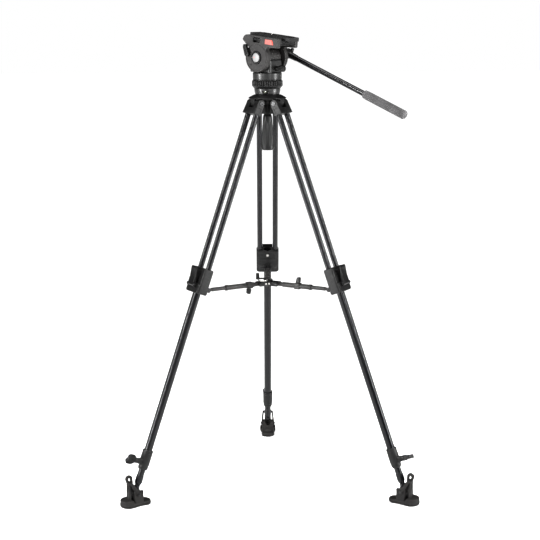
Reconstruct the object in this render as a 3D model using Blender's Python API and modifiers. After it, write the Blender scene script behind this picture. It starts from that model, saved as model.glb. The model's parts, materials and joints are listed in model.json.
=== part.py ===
"""Tripod with fluid head: three two-tube legs, mid-level spreader, levelling bowl and pan-tilt head.

World frame: +Z up, floor at Z 0, origin under the middle of the whole object's box.
Legs stand at azimuths 90 (rear), 210 (left front) and 330 degrees (right front).
"""

import math

import bmesh
import bpy
from mathutils import Matrix, Vector

# ---------------------------------------------------------------- driving dimensions (metres, degrees)
AXIS_X, AXIS_Y = 0.0000, -0.1244         # the tripod's vertical axis in the world frame
GAP = 0.0003                             # running gap between neighbouring solids
LEG_AZIMUTH = {"left": 210.0, "right": 330.0, "rear": 90.0}

LEG_LEAN = 20.42                         # leg angle from the vertical
PIVOT_R, PIVOT_Z = 0.0417, 1.212         # leg hinge, from the tripod axis and from the floor
PIN_R, PIN_HALF = 0.0040, 0.0325         # leg hinge pin
TUBE_SPACING, TUBE_R = 0.0505, 0.00845   # the two upper tubes
LOWER_R, LOWER_WALL = 0.01235, 0.0018    # second stage
FOOT_TUBE_R, FOOT_TUBE_WALL = 0.0100, 0.0015
CLAMP_TOP, CLAMP_STEP, CLAMP_END = 0.530, 0.583, 0.610   # mid clamp, along the leg from the hinge
COLLAR_TOP, COLLAR_END = 1.113, 1.175    # lower collar, along the leg
KNOB_S = 1.152                           # wing knob axis, along the leg
ANKLE_S = 1.232                          # foot hinge, along the leg

RIM_Z = 1.237                            # top of the bowl
BALL_Z, BALL_R = 1.2538, 0.0400          # centre and radius of the levelling ball
BOWL_WALL = 0.0037
CAP_R = 0.0585
HANDLE_END_Z = 1.067

RING_Z, RING_TOP_Z, RING_R = 1.2570, 1.2812, 0.0472      # pan drag ring
TURNTABLE_TOP_Z, TURNTABLE_R = 1.3053, 0.0445
PAN_LOCK_Y, PAN_LOCK_Z = 0.0480, 1.3178                  # pan lock knob, behind the head
TILT_Z = 1.351                           # tilt axis height
HEAD_PAN, HEAD_TILT = 48.0, 6.0          # how the head stands: turned, and nose up
SIDE_R = 0.0445                          # round lower end of the side plates
LEFT_X = (-0.050, -0.032)                # left side plate, across the head
RIGHT_X = (0.033, 0.047)
DECK_Z, DECK_TOP_Z = 0.0445, 0.066       # platform, above the tilt axis
DECK_REAR_Y, DECK_FRONT_Y = -0.079, 0.044
PLATE_X, PLATE_Z, PLATE_TOP_Z = 0.0235, 0.0586, 0.0714   # camera plate
PLATE_REAR_Y, PLATE_FRONT_Y = -0.1016, 0.056
DIAL_R = 0.0197
BAR_Y, BAR_Z, BAR_X = -0.020, 0.012, 0.0700              # pan bar hinge on the right plate
BAR_DROOP, BAR_LENGTH, GRIP_LENGTH = 14.8, 0.481, 0.160
BAR_R, GRIP_R = 0.0083, 0.0134

ARM_R, ARM_Z = 0.218, 0.646              # spreader arm's hinge on the leg
HUB_PIN_R = 0.036                        # where the arms meet the hub
ARM_LENGTH = ARM_R - HUB_PIN_R
SLEEVE_START, SLEEVE_END = 0.0625, 0.165  # arm sleeve, measured inward from the leg's hinge
SLEEVE_BORE_END, ROD_END = 0.151, 0.096  # the sleeve's bore and the rod in it, with 52 mm of travel

ROUND = 20                               # sides of a tube
TURNED = 32                              # sides of a large turned piece


# ---------------------------------------------------------------- scene, materials, small tools
for old in list(bpy.data.objects):
    bpy.data.objects.remove(old)
parts = bpy.data.collections.new("tripod_with_fluid_head")
cutters = bpy.data.collections.new("cutters")
for group in (parts, cutters):
    bpy.context.scene.collection.children.link(group)


def material(name, colour, roughness, metallic=0.0):
    made = bpy.data.materials.get(name) or bpy.data.materials.new(name)
    made.use_nodes = True
    shader = made.node_tree.nodes["Principled BSDF"]
    shader.inputs["Base Color"].default_value = (*colour, 1.0)
    shader.inputs["Roughness"].default_value = roughness
    shader.inputs["Metallic"].default_value = metallic
    return made


LOOKS = {
    "tube": ((0.055, 0.055, 0.060), 0.34, 0.6),
    "casting": ((0.040, 0.040, 0.042), 0.55, 0.0),
    "head": ((0.085, 0.083, 0.084), 0.50, 0.0),
    "rubber": ((0.035, 0.034, 0.034), 0.80, 0.0),
    "steel": ((0.62, 0.61, 0.59), 0.30, 1.0),
    "dial": ((0.80, 0.80, 0.80), 0.30, 0.4),
}


def at(x=0.0, y=0.0, z=0.0):
    return Matrix.Translation((x, y, z))


def turn(axis, degrees):
    return Matrix.Rotation(math.radians(degrees), 4, axis)


def empty(name, matrix, parent=None):
    """A joint's own frame: its origin is on the joint's axis."""
    made = bpy.data.objects.new(name, None)
    made.empty_display_size = 0.02
    parts.objects.link(made)
    made.parent = parent
    made.matrix_basis = matrix
    return made


def solid(name, build, looks=None, frame=None, place=Matrix()):
    """A new mesh object whose shape is made by build(bm), in the frame of an empty."""
    mesh = bpy.data.meshes.new(name)
    bm = bmesh.new()
    build(bm)
    bmesh.ops.recalc_face_normals(bm, faces=bm.faces)
    bm.to_mesh(mesh)
    bm.free()
    return finish(name, mesh, looks, frame, place)


def finish(name, mesh, looks, frame, place):
    made = bpy.data.objects.new(name, mesh)
    if looks:
        parts.objects.link(made)
        mesh.materials.append(material(name, *LOOKS[looks]))
    else:
        cutters.objects.link(made)
        made.hide_render = True
        made.display_type = "WIRE"
    made.parent = frame
    made.matrix_basis = place
    mesh.shade_smooth()
    mesh.set_sharp_from_angle(angle=math.radians(35))
    return made


def box(low, high):
    """A box between two corners, for solid()."""
    size = Vector(high) - Vector(low)
    middle = (Vector(high) + Vector(low)) / 2

    def build(bm):
        bmesh.ops.create_cube(bm, size=1.0, matrix=Matrix.Translation(middle) @ Matrix.Diagonal((*size, 1.0)))
    return build


def rod(start, end, radius, end_radius=None, sides=ROUND):
    """A round bar or cone frustum from one point to another, for solid()."""
    start, end = Vector(start), Vector(end)
    along = end - start
    frame = Matrix.Translation((start + end) / 2) @ along.to_track_quat("Z", "Y").to_matrix().to_4x4()

    def build(bm):
        bmesh.ops.create_cone(bm, cap_ends=True, segments=sides, radius1=radius,
                              radius2=radius if end_radius is None else end_radius,
                              depth=along.length, matrix=frame)
    return build


def turned(name, profile, looks=None, frame=None, place=Matrix(), sides=TURNED, ring=False):
    """A lathe shape: profile points (radius, height) run down the outside; a ring's profile is closed."""
    mesh = bpy.data.meshes.new(name)
    bm = bmesh.new()
    points = [bm.verts.new((r, 0.0, z)) for r, z in profile]
    for a, b in zip(points, points[1:] + (points[:1] if ring else [])):
        bm.edges.new((a, b))
    bm.to_mesh(mesh)
    bm.free()
    made = finish(name, mesh, looks, frame, place)
    spin = made.modifiers.new("turned", "SCREW")
    spin.axis = "Z"
    spin.steps = spin.render_steps = sides
    spin.use_merge_vertices = True
    spin.merge_threshold = 0.00002
    spin.use_smooth_shade = True
    return made


def extruded(name, outlines, half, looks=None, frame=None, place=Matrix()):
    """A flat outline, with any holes as further outlines, given a thickness both ways from its plane."""
    curve = bpy.data.curves.new(name, "CURVE")
    curve.dimensions = "2D"
    curve.fill_mode = "BOTH"
    curve.extrude = half
    for outline in outlines:
        line = curve.splines.new("POLY")
        line.points.add(len(outline) - 1)
        for point, (x, y) in zip(line.points, outline):
            point.co = (x, y, 0.0, 1.0)
        line.use_cyclic_u = True
    guide = bpy.data.objects.new(name + "_outline", curve)
    cutters.objects.link(guide)
    bpy.context.view_layer.update()
    evaluated = guide.evaluated_get(bpy.context.evaluated_depsgraph_get())
    mesh = bpy.data.meshes.new_from_object(evaluated)
    bpy.data.objects.remove(guide)
    bm = bmesh.new()
    bm.from_mesh(mesh)
    bmesh.ops.remove_doubles(bm, verts=bm.verts, dist=0.00001)
    bmesh.ops.recalc_face_normals(bm, faces=bm.faces)
    bm.to_mesh(mesh)
    bm.free()
    mesh.name = name
    mesh.materials.clear()
    return finish(name, mesh, looks, frame, place)


def combine(target, other, operation):
    """Adds another shape to the target, or cuts it away; the other shape becomes a guide."""
    change = target.modifiers.new(operation.lower(), "BOOLEAN")
    change.operation = operation
    change.solver = "EXACT"
    change.object = other


def add(target, build):
    """Joins on a shape drawn in the target's own frame."""
    combine(target, solid(target.name + "_add", build, frame=target.parent), "UNION")


def cut(target, build):
    """Cuts away a shape drawn in the target's own frame."""
    combine(target, solid(target.name + "_cut", build, frame=target.parent), "DIFFERENCE")


def bevel(target, width, segments=2, angle=40.0):
    edge = target.modifiers.new("bevel", "BEVEL")
    edge.width = width
    edge.segments = segments
    edge.limit_method = "ANGLE"
    edge.angle_limit = math.radians(angle)


def arc(centre, radius, start, end, steps):
    """Points along an arc, both ends included, angles in degrees."""
    turns = [math.radians(start + (end - start) * i / steps) for i in range(steps + 1)]
    return [(centre[0] + radius * math.cos(t), centre[1] + radius * math.sin(t)) for t in turns]


# outlines drawn in a vertical plane: x of the outline stays x, y of the outline becomes z
UPRIGHT = turn("X", 90.0)
# outlines drawn in the plane across the head: x of the outline becomes forward, y becomes z
SIDEWAYS = turn("Z", 90.0) @ turn("X", 90.0)


# ---------------------------------------------------------------- bowl, levelling ball and handle
axis = empty("tripod_axis", at(AXIS_X, AXIS_Y))


def ball_arc(radius, from_r, to_r, steps):
    """Points (radius, height) down the outside of the levelling ball's lower half, between two radii."""
    start = math.acos(from_r / radius)
    end = math.acos(to_r / radius)
    angles = [start + (end - start) * i / steps for i in range(steps + 1)]
    return [(radius * math.cos(a), BALL_Z - radius * math.sin(a)) for a in angles]


def bowl():
    inner, outer = BALL_R + GAP, BALL_R + GAP + BOWL_WALL
    hole, under_z = 0.0128, RIM_Z - 0.0108
    rim_r = math.sqrt(inner ** 2 - (BALL_Z - RIM_Z) ** 2)
    under_r = math.sqrt(outer ** 2 - (BALL_Z - under_z) ** 2)
    profile = [(0.0405, RIM_Z), (CAP_R - 0.001, RIM_Z - 0.0080), (CAP_R, RIM_Z - 0.0092), (CAP_R, under_z)]
    profile += ball_arc(outer, under_r, hole, 3)
    profile += ball_arc(inner, rim_r, hole, 4)[::-1]
    made = turned("bowl_casting", profile, "casting", axis, sides=36, ring=True)
    eye, thick = 0.0112, 0.0118
    for side, azimuth in LEG_AZIMUTH.items():
        outline = [(0.0310, RIM_Z - 0.0095)]
        outline += arc((PIVOT_R, PIVOT_Z), eye, 175, 365, 8)
        outline += [(PIVOT_R + eye, RIM_Z - 0.0095)]
        lug = extruded("lug_" + side, [outline], thick, frame=axis, place=turn("Z", azimuth) @ UPRIGHT)
        combine(made, lug, "UNION")
        pin_shape = rod((PIVOT_R, -PIN_HALF, PIVOT_Z), (PIVOT_R, PIN_HALF, PIVOT_Z), PIN_R, sides=12)
        pin = solid("leg_pin_" + side, pin_shape, frame=axis, place=turn("Z", azimuth))
        combine(made, pin, "UNION")
    return made


def levelling():
    washer_in = BALL_R + BOWL_WALL + 2 * GAP
    washer_out = washer_in + 0.0032
    profile = ball_arc(washer_out, 0.0185, 0.0057, 2)
    profile = ball_arc(washer_in, 0.0180, 0.0057, 2)[::-1] + profile
    washer = turned("clamp_washer", profile, "steel", axis, sides=ROUND, ring=True)
    cut(washer, box((-0.0054, -0.0102, 1.190), (0.0054, 0.0102, 1.225)))

    rod_r, rod_top = 0.0050, BALL_Z - BALL_R + 0.012
    neck_top = BALL_Z - washer_out - GAP
    handle = [(0.0, rod_top), (rod_r, rod_top), (rod_r, neck_top), (0.0105, neck_top), (0.0105, 1.176),
              (0.0128, 1.172), (0.0140, 1.165), (0.0150, 1.150), (0.0205, 1.085), (0.0213, 1.075),
              (0.0196, 1.0695), (0.0150, HANDLE_END_Z), (0.0, HANDLE_END_Z)]
    turned("levelling_handle", handle, "rubber", axis, sides=ROUND)

    hub_r, shelf_z = 0.0362, RING_Z - GAP
    shelf_r = math.sqrt(BALL_R ** 2 - (shelf_z - BALL_Z) ** 2)
    base = [(0.0, RING_TOP_Z), (hub_r, RING_TOP_Z), (hub_r, shelf_z), (shelf_r, shelf_z), (BALL_R, BALL_Z)]
    base += ball_arc(BALL_R, BALL_R * 0.9999, rod_r + GAP, 5)[1:]
    base += [(rod_r + GAP, rod_top + GAP), (0.0, rod_top + GAP)]
    turned("head_base", base, "head", axis, sides=36)

    ring = [(hub_r + GAP, RING_TOP_Z - GAP), (RING_R - 0.001, RING_TOP_Z - GAP), (RING_R, RING_TOP_Z - 0.0012),
            (RING_R, RING_Z + 0.0075), (0.0410, RING_Z), (hub_r + GAP, RING_Z)]
    turned("pan_drag_ring", ring, "head", axis, sides=36, ring=True)


# ---------------------------------------------------------------- legs
def leg_frame(side):
    azimuth = LEG_AZIMUTH[side]
    matrix = turn("Z", azimuth) @ at(PIVOT_R, 0.0, PIVOT_Z) @ turn("Y", -LEG_LEAN)
    return empty("leg_hinge_" + side, matrix, axis)


def top_casting(side, hinge):
    back, front, low, round_r = -0.0100, 0.0160, -0.036, 0.0122
    outline = arc((0, 0), round_r, -10, 190, 8) + [(back, low), (front, low)]
    made = extruded("leg_top_" + side, [outline], 0.0355, "casting", hinge, UPRIGHT)
    lug_room = solid("lug_room_" + side, box((-0.03, -0.0122, -0.0170), (0.03, 0.0122, 0.03)), frame=hinge)
    combine(made, lug_room, "DIFFERENCE")
    bore_half = PIN_HALF + GAP
    bore_shape = rod((0, -bore_half, 0), (0, bore_half, 0), PIN_R + GAP, sides=12)
    bore = solid("pin_bore_" + side, bore_shape, frame=hinge)
    combine(made, bore, "DIFFERENCE")
    for way in (-1, 1):
        y = way * TUBE_SPACING / 2
        socket = solid("socket", rod((0, y, -0.060), (0, y, -0.0200), TUBE_R + GAP), frame=hinge)
        combine(made, socket, "DIFFERENCE")


def upper_tubes(side, hinge):
    top, bottom, bore = -0.0205, -(CLAMP_TOP + 0.0345), TUBE_R - 0.0013
    for way, word in ((-1, "a"), (1, "b")):
        profile = [(bore, top), (TUBE_R, top), (TUBE_R, bottom), (bore, bottom)]
        turned(f"upper_tube_{side}_{word}", profile, "tube", hinge, at(0, way * TUBE_SPACING / 2, 0), ROUND, True)


def mid_clamp(side, hinge):
    top, step, end = -CLAMP_TOP, -CLAMP_STEP, -CLAMP_END
    main = box((-0.0150, -0.0368, end + 0.001), (0.0170, 0.0368, top))
    made = solid("mid_clamp_" + side, main, "casting", hinge)
    bevel(made, 0.0035, 1)
    add(made, box((-0.0158, -0.0350, end), (0.0225, 0.0350, step + 0.004)))
    # ears for the spreader arm, on the inner side
    hinge_x, hinge_z = arm_pin()
    for way in (-1, 1):
        y0, y1 = sorted((way * 0.0053, way * 0.0100))
        add(made, box((hinge_x - 0.0068, y0, hinge_z - 0.0085), (-0.0140, y1, hinge_z + 0.0066)))
    # ears for the clamp lever, on the outer side
    for way in (-1, 1):
        y0, y1 = sorted((way * 0.0172, way * 0.0215))
        add(made, box((0.0165, y0, step - 0.012), (0.0335, y1, step + 0.004)))
    cut(made, rod((0, 0, end - 0.01), (0, 0, top + 0.01), LOWER_R + GAP))
    for way in (-1, 1):
        y = way * TUBE_SPACING / 2
        cut(made, rod((0, y, top - 0.035), (0, y, top + 0.01), TUBE_R + GAP))


def arm_pin():
    """The spreader arm's hinge in the leg's own frame: outward and up along the leg."""
    lean = math.radians(LEG_LEAN)
    out, up = ARM_R - PIVOT_R, ARM_Z - PIVOT_Z
    return out * math.cos(lean) + up * math.sin(lean), -(out * math.sin(lean) - up * math.cos(lean))


LEVER_X, LEVER_Z = 0.0280, -(CLAMP_STEP + 0.0035)


def clamp_lever(side, hinge):
    frame = empty("clamp_lever_hinge_" + side, at(LEVER_X, 0, LEVER_Z), hinge)
    tip = 0.0560
    outline = arc((0, 0), 0.0052, 180, 360, 6)
    outline += [(0.0050, 0.025), (0.0090, tip - 0.004), (0.0078, tip), (0.0048, tip), (0.0030, 0.045),
                (-0.0052, 0.025)]
    made = extruded("clamp_lever_" + side, [outline], 0.0165, "casting", frame, UPRIGHT)
    bevel(made, 0.0012, 1, 50)


def lower_leg(side, hinge):
    top, bottom = -(CLAMP_TOP + 0.006), -(COLLAR_END - 0.003)
    inner = LOWER_R - LOWER_WALL
    profile = [(inner, top), (LOWER_R, top), (LOWER_R, bottom), (inner, bottom)]
    slide = empty("lower_slide_" + side, Matrix(), hinge)
    turned("lower_tube_" + side, profile, "tube", slide, sides=ROUND, ring=True)

    wide, neck, socket_z = 0.0165, FOOT_TUBE_R + GAP, bottom - GAP
    profile = [(LOWER_R + GAP, -COLLAR_TOP), (wide - 0.0015, -COLLAR_TOP), (wide, -COLLAR_TOP - 0.002),
               (wide, -COLLAR_END + 0.004), (wide - 0.003, -COLLAR_END), (neck, -COLLAR_END), (neck, socket_z),
               (LOWER_R + GAP, socket_z)]
    made = turned("lower_collar_" + side, profile, "casting", slide, sides=ROUND, ring=True)
    boss_shape = rod((LOWER_R + 0.0017, 0, -KNOB_S), (0.0290, 0, -KNOB_S), 0.0110, 0.0078)
    boss = solid("boss_" + side, boss_shape, frame=slide)
    combine(made, boss, "UNION")
    return slide


def wing_knob(side, slide):
    rest_turn = {"left": 54.0, "right": -12.0, "rear": 35.0}[side]
    frame = empty("wing_knob_axis_" + side, at(0.0293, 0, -KNOB_S) @ turn("X", rest_turn), slide)
    made = solid("wing_knob_" + side, rod((0, 0, 0), (0.012, 0, 0), 0.0085, sides=20), "casting", frame)
    outline = ([(0.0060, -0.0115), (0.0140, -0.0175)] + arc((0.0270, -0.0130), 0.0060, -70, 0, 3)
               + arc((0.0270, 0.0130), 0.0060, 0, 70, 3) + [(0.0140, 0.0175), (0.0060, 0.0115)])
    wing = extruded("wing_" + side, [outline], 0.0062, frame=frame)
    combine(made, wing, "UNION")
    bevel(made, 0.0010, 1, 50)


def foot_stage(side, slide):
    hinge = empty("foot_slide_" + side, Matrix(), slide)
    top, plug = -0.748, -(ANKLE_S - 0.020)
    bore = FOOT_TUBE_R - FOOT_TUBE_WALL
    ball = 0.0093
    shoulder, shoulder_r = -(COLLAR_END + GAP), 0.0106
    sleeve_top, sleeve_r = -ANKLE_S + 0.037, 0.0118
    profile = [(0.0, plug), (bore, plug), (bore, top), (FOOT_TUBE_R, top), (FOOT_TUBE_R, shoulder)]
    profile += [(shoulder_r, shoulder), (shoulder_r, sleeve_top), (sleeve_r, sleeve_top - 0.0012),
                (sleeve_r, -ANKLE_S + 0.015)]
    profile += arc((0, -ANKLE_S), ball, 35, -65, 3)
    profile += [(0.0, -ANKLE_S - ball)]
    turned("foot_tube_" + side, profile, "tube", hinge, sides=ROUND)
    return hinge


def foot(side, hinge):
    level = at(0, 0, -ANKLE_S) @ turn("Y", LEG_LEAN)
    frame = empty("ankle_" + side, level, hinge)
    lean = math.radians(LEG_LEAN)
    floor = -(PIVOT_Z - ANKLE_S * math.cos(lean))
    pad_top, inner_top = floor + 0.0225, floor + 0.0140
    outline = arc((0.0262, 0), 0.0285, -75, 75, 10) + arc((-0.0235, 0), 0.0205, 100, 260, 8)
    made = extruded("foot_" + side, [outline], (inner_top - floor) / 2, "rubber", frame,
                    at(0, 0, (inner_top + floor) / 2))
    bevel(made, 0.0040, 1, 50)
    lobe_low = floor + 0.0050
    lobe = extruded("lobe_" + side, [arc((0.0262, 0), 0.0272, -100, 100, 12)], (pad_top - lobe_low) / 2,
                    frame=frame, place=at(0, 0, (pad_top + lobe_low) / 2))
    bevel(lobe, 0.0030, 1, 50)
    combine(made, lobe, "UNION")
    boot_shape = box((-0.0140, -0.0180, inner_top - 0.004), (0.0150, 0.0180, -0.0085))
    boot = solid("boot_" + side, boot_shape, frame=frame)
    bevel(boot, 0.0030, 1)
    combine(made, boot, "UNION")
    room = solid("ankle_room_" + side, box((-0.03, -0.0110, -0.0125), (0.03, 0.0110, 0.03)), frame=frame)
    combine(made, room, "DIFFERENCE")
    # the strap: a band up each side from a pin, a crossbar, a finger loop and a tongue down to the sole
    pin, top, band_r = (0.0020, -0.0180), (0.0240, 0.0165), 0.0048
    pin_shape = rod((pin[0], -0.0255, pin[1]), (pin[0], 0.0255, pin[1]), 0.0042, sides=12)
    combine(made, solid("strap_pin_" + side, pin_shape, frame=frame), "UNION")
    rise = math.degrees(math.atan2(top[1] - pin[1], top[0] - pin[0]))
    band = arc(pin, band_r + 0.0012, rise + 90, rise + 270, 6) + arc(top, band_r, rise - 90, rise + 90, 6)
    for way in (-1, 1):
        strap = extruded("strap_" + side, [band], 0.0026, frame=frame, place=at(0, way * 0.0200, 0) @ UPRIGHT)
        combine(made, strap, "UNION")
    bar_shape = rod((top[0], -0.0190, top[1]), (top[0], 0.0190, top[1]), 0.0042, sides=12)
    bar = solid("strap_bar_" + side, bar_shape, frame=frame)
    combine(made, bar, "UNION")
    loop_top = (0.0262, 0.0298)
    rim = arc(loop_top, 0.0115, -10, 160, 12) + [(0.0138, 0.0160), (0.0195, 0.0110), (0.0315, 0.0150)]
    loop = extruded("strap_loop_" + side, [rim], 0.0050, frame=frame, place=UPRIGHT)
    slot = arc(loop_top, 0.0044, 0, 180, 8) + arc((0.0245, 0.0235), 0.0044, 180, 360, 8)
    combine(loop, extruded("strap_slot_" + side, [slot], 0.0100, frame=frame, place=UPRIGHT), "DIFFERENCE")
    combine(made, loop, "UNION")
    tongue_shape = box((0.0250, -0.0112, pad_top - 0.004), (0.0300, 0.0112, 0.0190))
    tongue = solid("tongue_" + side, tongue_shape, frame=frame)
    bevel(tongue, 0.0012, 1)
    combine(made, tongue, "UNION")


# ---------------------------------------------------------------- spreader
def spreader_arm(side, hinge):
    pin_x, pin_z = arm_pin()
    frame = empty("arm_hinge_" + side, at(pin_x, 0, pin_z) @ turn("Y", LEG_LEAN), hinge)
    rod_r, neck_r, sleeve_r, half_width = 0.0060, 0.0046, 0.0088, 0.0088
    made = solid("arm_rod_" + side, rod((-0.0125, 0, 0), (-ROD_END, 0, 0), rod_r, sides=16), "tube", frame)
    eye = extruded("eye_" + side, [arc((0, 0), 0.0065, 0, 337.5, 15)], 0.0049, frame=frame, place=UPRIGHT)
    combine(made, eye, "UNION")
    neck = solid("neck_" + side, rod((-0.004, 0, 0), (-0.0200, 0, 0), neck_r, sides=12), frame=frame)
    combine(made, neck, "UNION")

    slide = empty("arm_slide_" + side, Matrix(), frame)
    sleeve = solid("arm_sleeve_" + side, rod((-SLEEVE_START, 0, 0), (-SLEEVE_END, 0, 0), sleeve_r, sides=20),
                   "casting", slide)
    tip = [(-SLEEVE_END + 0.010, -0.0050)] + arc((-ARM_LENGTH, 0), 0.0045, 270, 90, 8)
    tip += [(-SLEEVE_END + 0.010, 0.0050)]
    finger = extruded("finger_" + side, [tip], half_width - 0.0004, frame=slide, place=UPRIGHT)
    combine(sleeve, finger, "UNION")
    lock_x = -0.112 if side == "right" else -0.149
    block_half = half_width + 0.0003
    block_shape = box((lock_x - 0.0100, -block_half, -0.0096), (lock_x + 0.0100, block_half, 0.0096))
    block = solid("lock_block_" + side, block_shape, frame=slide)
    bevel(block, 0.0015, 1)
    combine(sleeve, block, "UNION")
    cut(sleeve, rod((-SLEEVE_START + 0.01, 0, 0), (-SLEEVE_BORE_END, 0, 0), rod_r + GAP, sides=16))

    way = {"left": -1, "right": 1, "rear": -1}[side]
    stands = at(lock_x, 0, way * 0.0146) @ turn("X", 0 if way < 0 else 180)
    lock = empty("arm_lock_hinge_" + side, stands, slide)
    outline = arc((0, 0), 0.0046, 60, 190, 4) + [(-0.0010, -0.0130), (0.0080, -0.0125)]
    outline += arc((0.0032, 0), 0.0046, -10, 60, 3)
    lever = extruded("arm_lock_" + side, [outline], 0.0062, "casting", lock, UPRIGHT)
    bevel(lever, 0.0008, 1, 50)


def spreader_hub():
    frame = empty("hub_slide", at(0, 0, ARM_Z), axis)
    made = solid("spreader_hub", rod((0, 0, -0.0085), (0, 0, 0.0085), 0.0145, sides=ROUND), "casting", frame)
    for side, azimuth in LEG_AZIMUTH.items():
        for way in (-1, 1):
            y0, y1 = sorted((way * 0.0095, way * 0.0135))
            ear = solid("hub_ear_" + side, box((0.006, y0, -0.0065), (HUB_PIN_R + 0.0065, y1, 0.0065)),
                        frame=frame, place=turn("Z", azimuth))
            combine(made, ear, "UNION")


# ---------------------------------------------------------------- head: pan
def pan_unit():
    turning = empty("pan_axis", turn("Z", HEAD_PAN), axis)
    low = RING_TOP_Z + GAP
    table = [(0.0, TURNTABLE_TOP_Z), (TURNTABLE_R - 0.002, TURNTABLE_TOP_Z),
             (TURNTABLE_R, TURNTABLE_TOP_Z - 0.002), (TURNTABLE_R, low + 0.001), (TURNTABLE_R - 0.001, low),
             (0.0, low)]
    made = turned("pan_housing", table, "head", turning, sides=36)
    yoke = solid("yoke", box((-0.0290, -0.0360, TURNTABLE_TOP_Z - 0.004), (0.0290, 0.0360, TILT_Z - 0.006)),
                 frame=turning)
    bevel(yoke, 0.006, 1)
    combine(made, yoke, "UNION")
    boss = solid("lock_boss", rod((0, 0, PAN_LOCK_Z), (0, -PAN_LOCK_Y, PAN_LOCK_Z), 0.0075), frame=turning)
    combine(made, boss, "UNION")
    nose_shape = box((-0.014, 0.030, TURNTABLE_TOP_Z + 0.0008), (0.014, 0.0580, TURNTABLE_TOP_Z + 0.0100))
    nose = solid("pan_nose", nose_shape, frame=turning)
    bevel(nose, 0.002, 1)
    combine(made, nose, "UNION")
    saddle = solid("saddle", rod((-0.05, 0, TILT_Z), (0.05, 0, TILT_Z), 0.0305, sides=TURNED), frame=turning)
    combine(made, saddle, "DIFFERENCE")

    drum = [(0.0, 0.0440), (0.0075, 0.0440), (0.0075, 0.0305), (0.0290, 0.0305), (0.0302, 0.0293),
            (0.0302, -0.0283), (0.0290, -0.0295), (0.0075, -0.0295), (0.0075, -0.0440), (0.0, -0.0440)]
    turned("tilt_drum", drum, "head", turning, at(0, 0, TILT_Z) @ turn("Y", 90.0))

    knob = empty("pan_lock_axis", at(0, -PAN_LOCK_Y - GAP, PAN_LOCK_Z) @ turn("X", 90.0), turning)
    profile = [(0.0, 0.0215), (0.0070, 0.0215), (0.0092, 0.0195), (0.0098, 0.0040), (0.0080, 0.0), (0.0, 0.0)]
    turned("pan_lock_knob", profile, "casting", knob, sides=20)
    return turning


# ---------------------------------------------------------------- head: tilting cradle
def side_outline():
    """The side plate seen from the side: forward and up from the tilt axis."""
    skirt = 0.0345
    rear = [(DECK_REAR_Y, skirt + 0.002), (DECK_REAR_Y, DECK_TOP_Z - 0.004), (DECK_REAR_Y + 0.004, DECK_TOP_Z)]
    nose = [(0.0370, DECK_TOP_Z), (0.0510, 0.0640), (0.0560, 0.0600), (0.0622, 0.0500), (0.0600, 0.0465),
            (0.0430, 0.0330)]
    start = math.degrees(math.asin(0.028 / SIDE_R))
    under = arc((0, 0), SIDE_R, start, -180 - 38, 20)
    return nose + under + [(-0.0405, skirt)] + rear


def cradle(turning):
    tilting = empty("tilt_axis", at(0, 0, TILT_Z) @ turn("X", HEAD_TILT), turning)
    for name, (x0, x1) in (("side_plate_left", LEFT_X), ("side_plate_right", RIGHT_X)):
        made = extruded(name, [side_outline()], (x1 - x0) / 2, "head", tilting, at((x0 + x1) / 2) @ SIDEWAYS)
        bevel(made, 0.0018, 1, 50)
        bore = solid(name + "_bore", rod((-0.0445, 0, 0), (0.0445, 0, 0), 0.0078, sides=20), frame=tilting)
        combine(made, bore, "DIFFERENCE")
        if name == "side_plate_left":
            pocket_shape = rod((LEFT_X[0] - 0.01, 0, 0), (LEFT_X[0] + 0.003, 0, 0), DIAL_R + 2 * GAP)
            pocket = solid("dial_pocket", pocket_shape, frame=tilting)
            combine(made, pocket, "DIFFERENCE")
            recess_shape = box((LEFT_X[0] - 0.01, -0.0105, 0.0450), (LEFT_X[0] + 0.0130, 0.0190, 0.0600))
            recess = solid("latch_pocket", recess_shape, frame=tilting)
            bevel(recess, 0.004, 1)
            combine(made, recess, "DIFFERENCE")

    low, high = (LEFT_X[1] + GAP, DECK_REAR_Y + 0.001, DECK_Z), (RIGHT_X[0] - GAP, DECK_FRONT_Y, DECK_TOP_Z - 0.0005)
    deck = solid("platform", box(low, high), "head", tilting)
    bevel(deck, 0.0015, 1)
    cut(deck, box((-PLATE_X - 0.0006, -0.12, PLATE_Z - GAP), (PLATE_X + 0.0006, 0.12, 0.10)))
    cut(deck, box((-0.0120, -0.12, PLATE_Z - 0.0040), (0.0120, 0.12, 0.10)))
    return tilting


def tilt_controls(tilting):
    dial = empty("dial_axis", at(LEFT_X[0], 0, 0) @ turn("Y", -90.0), tilting)
    profile = [(0.0, 0.0022), (0.0148, 0.0022), (0.0152, 0.0034), (DIAL_R - 0.001, 0.0034), (DIAL_R, 0.0024),
               (DIAL_R, -0.0026), (0.0, -0.0026)]
    turned("tilt_dial", profile, "dial", dial)

    lever = empty("tilt_lock_hinge", at(LEFT_X[0] - GAP, 0.0330, 0.0080), tilting)
    outline = arc((0, 0), 0.0085, 150, 330, 6)
    outline += [(0.0165, 0.0180), (0.0160, 0.0265), (0.0105, 0.0285), (0.0045, 0.0240)]
    made = extruded("tilt_lock_lever", [outline], 0.0052, "casting", lever, at(-0.0052) @ SIDEWAYS)
    bevel(made, 0.0015, 1, 50)

    latch = empty("latch_slide", at(LEFT_X[0], 0.0045, 0.0545), tilting)
    button = solid("plate_latch", box((0.0005, -0.0125, -0.0035), (0.0050, 0.0130, 0.0040)), "casting", latch)
    bevel(button, 0.0010, 1)


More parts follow.
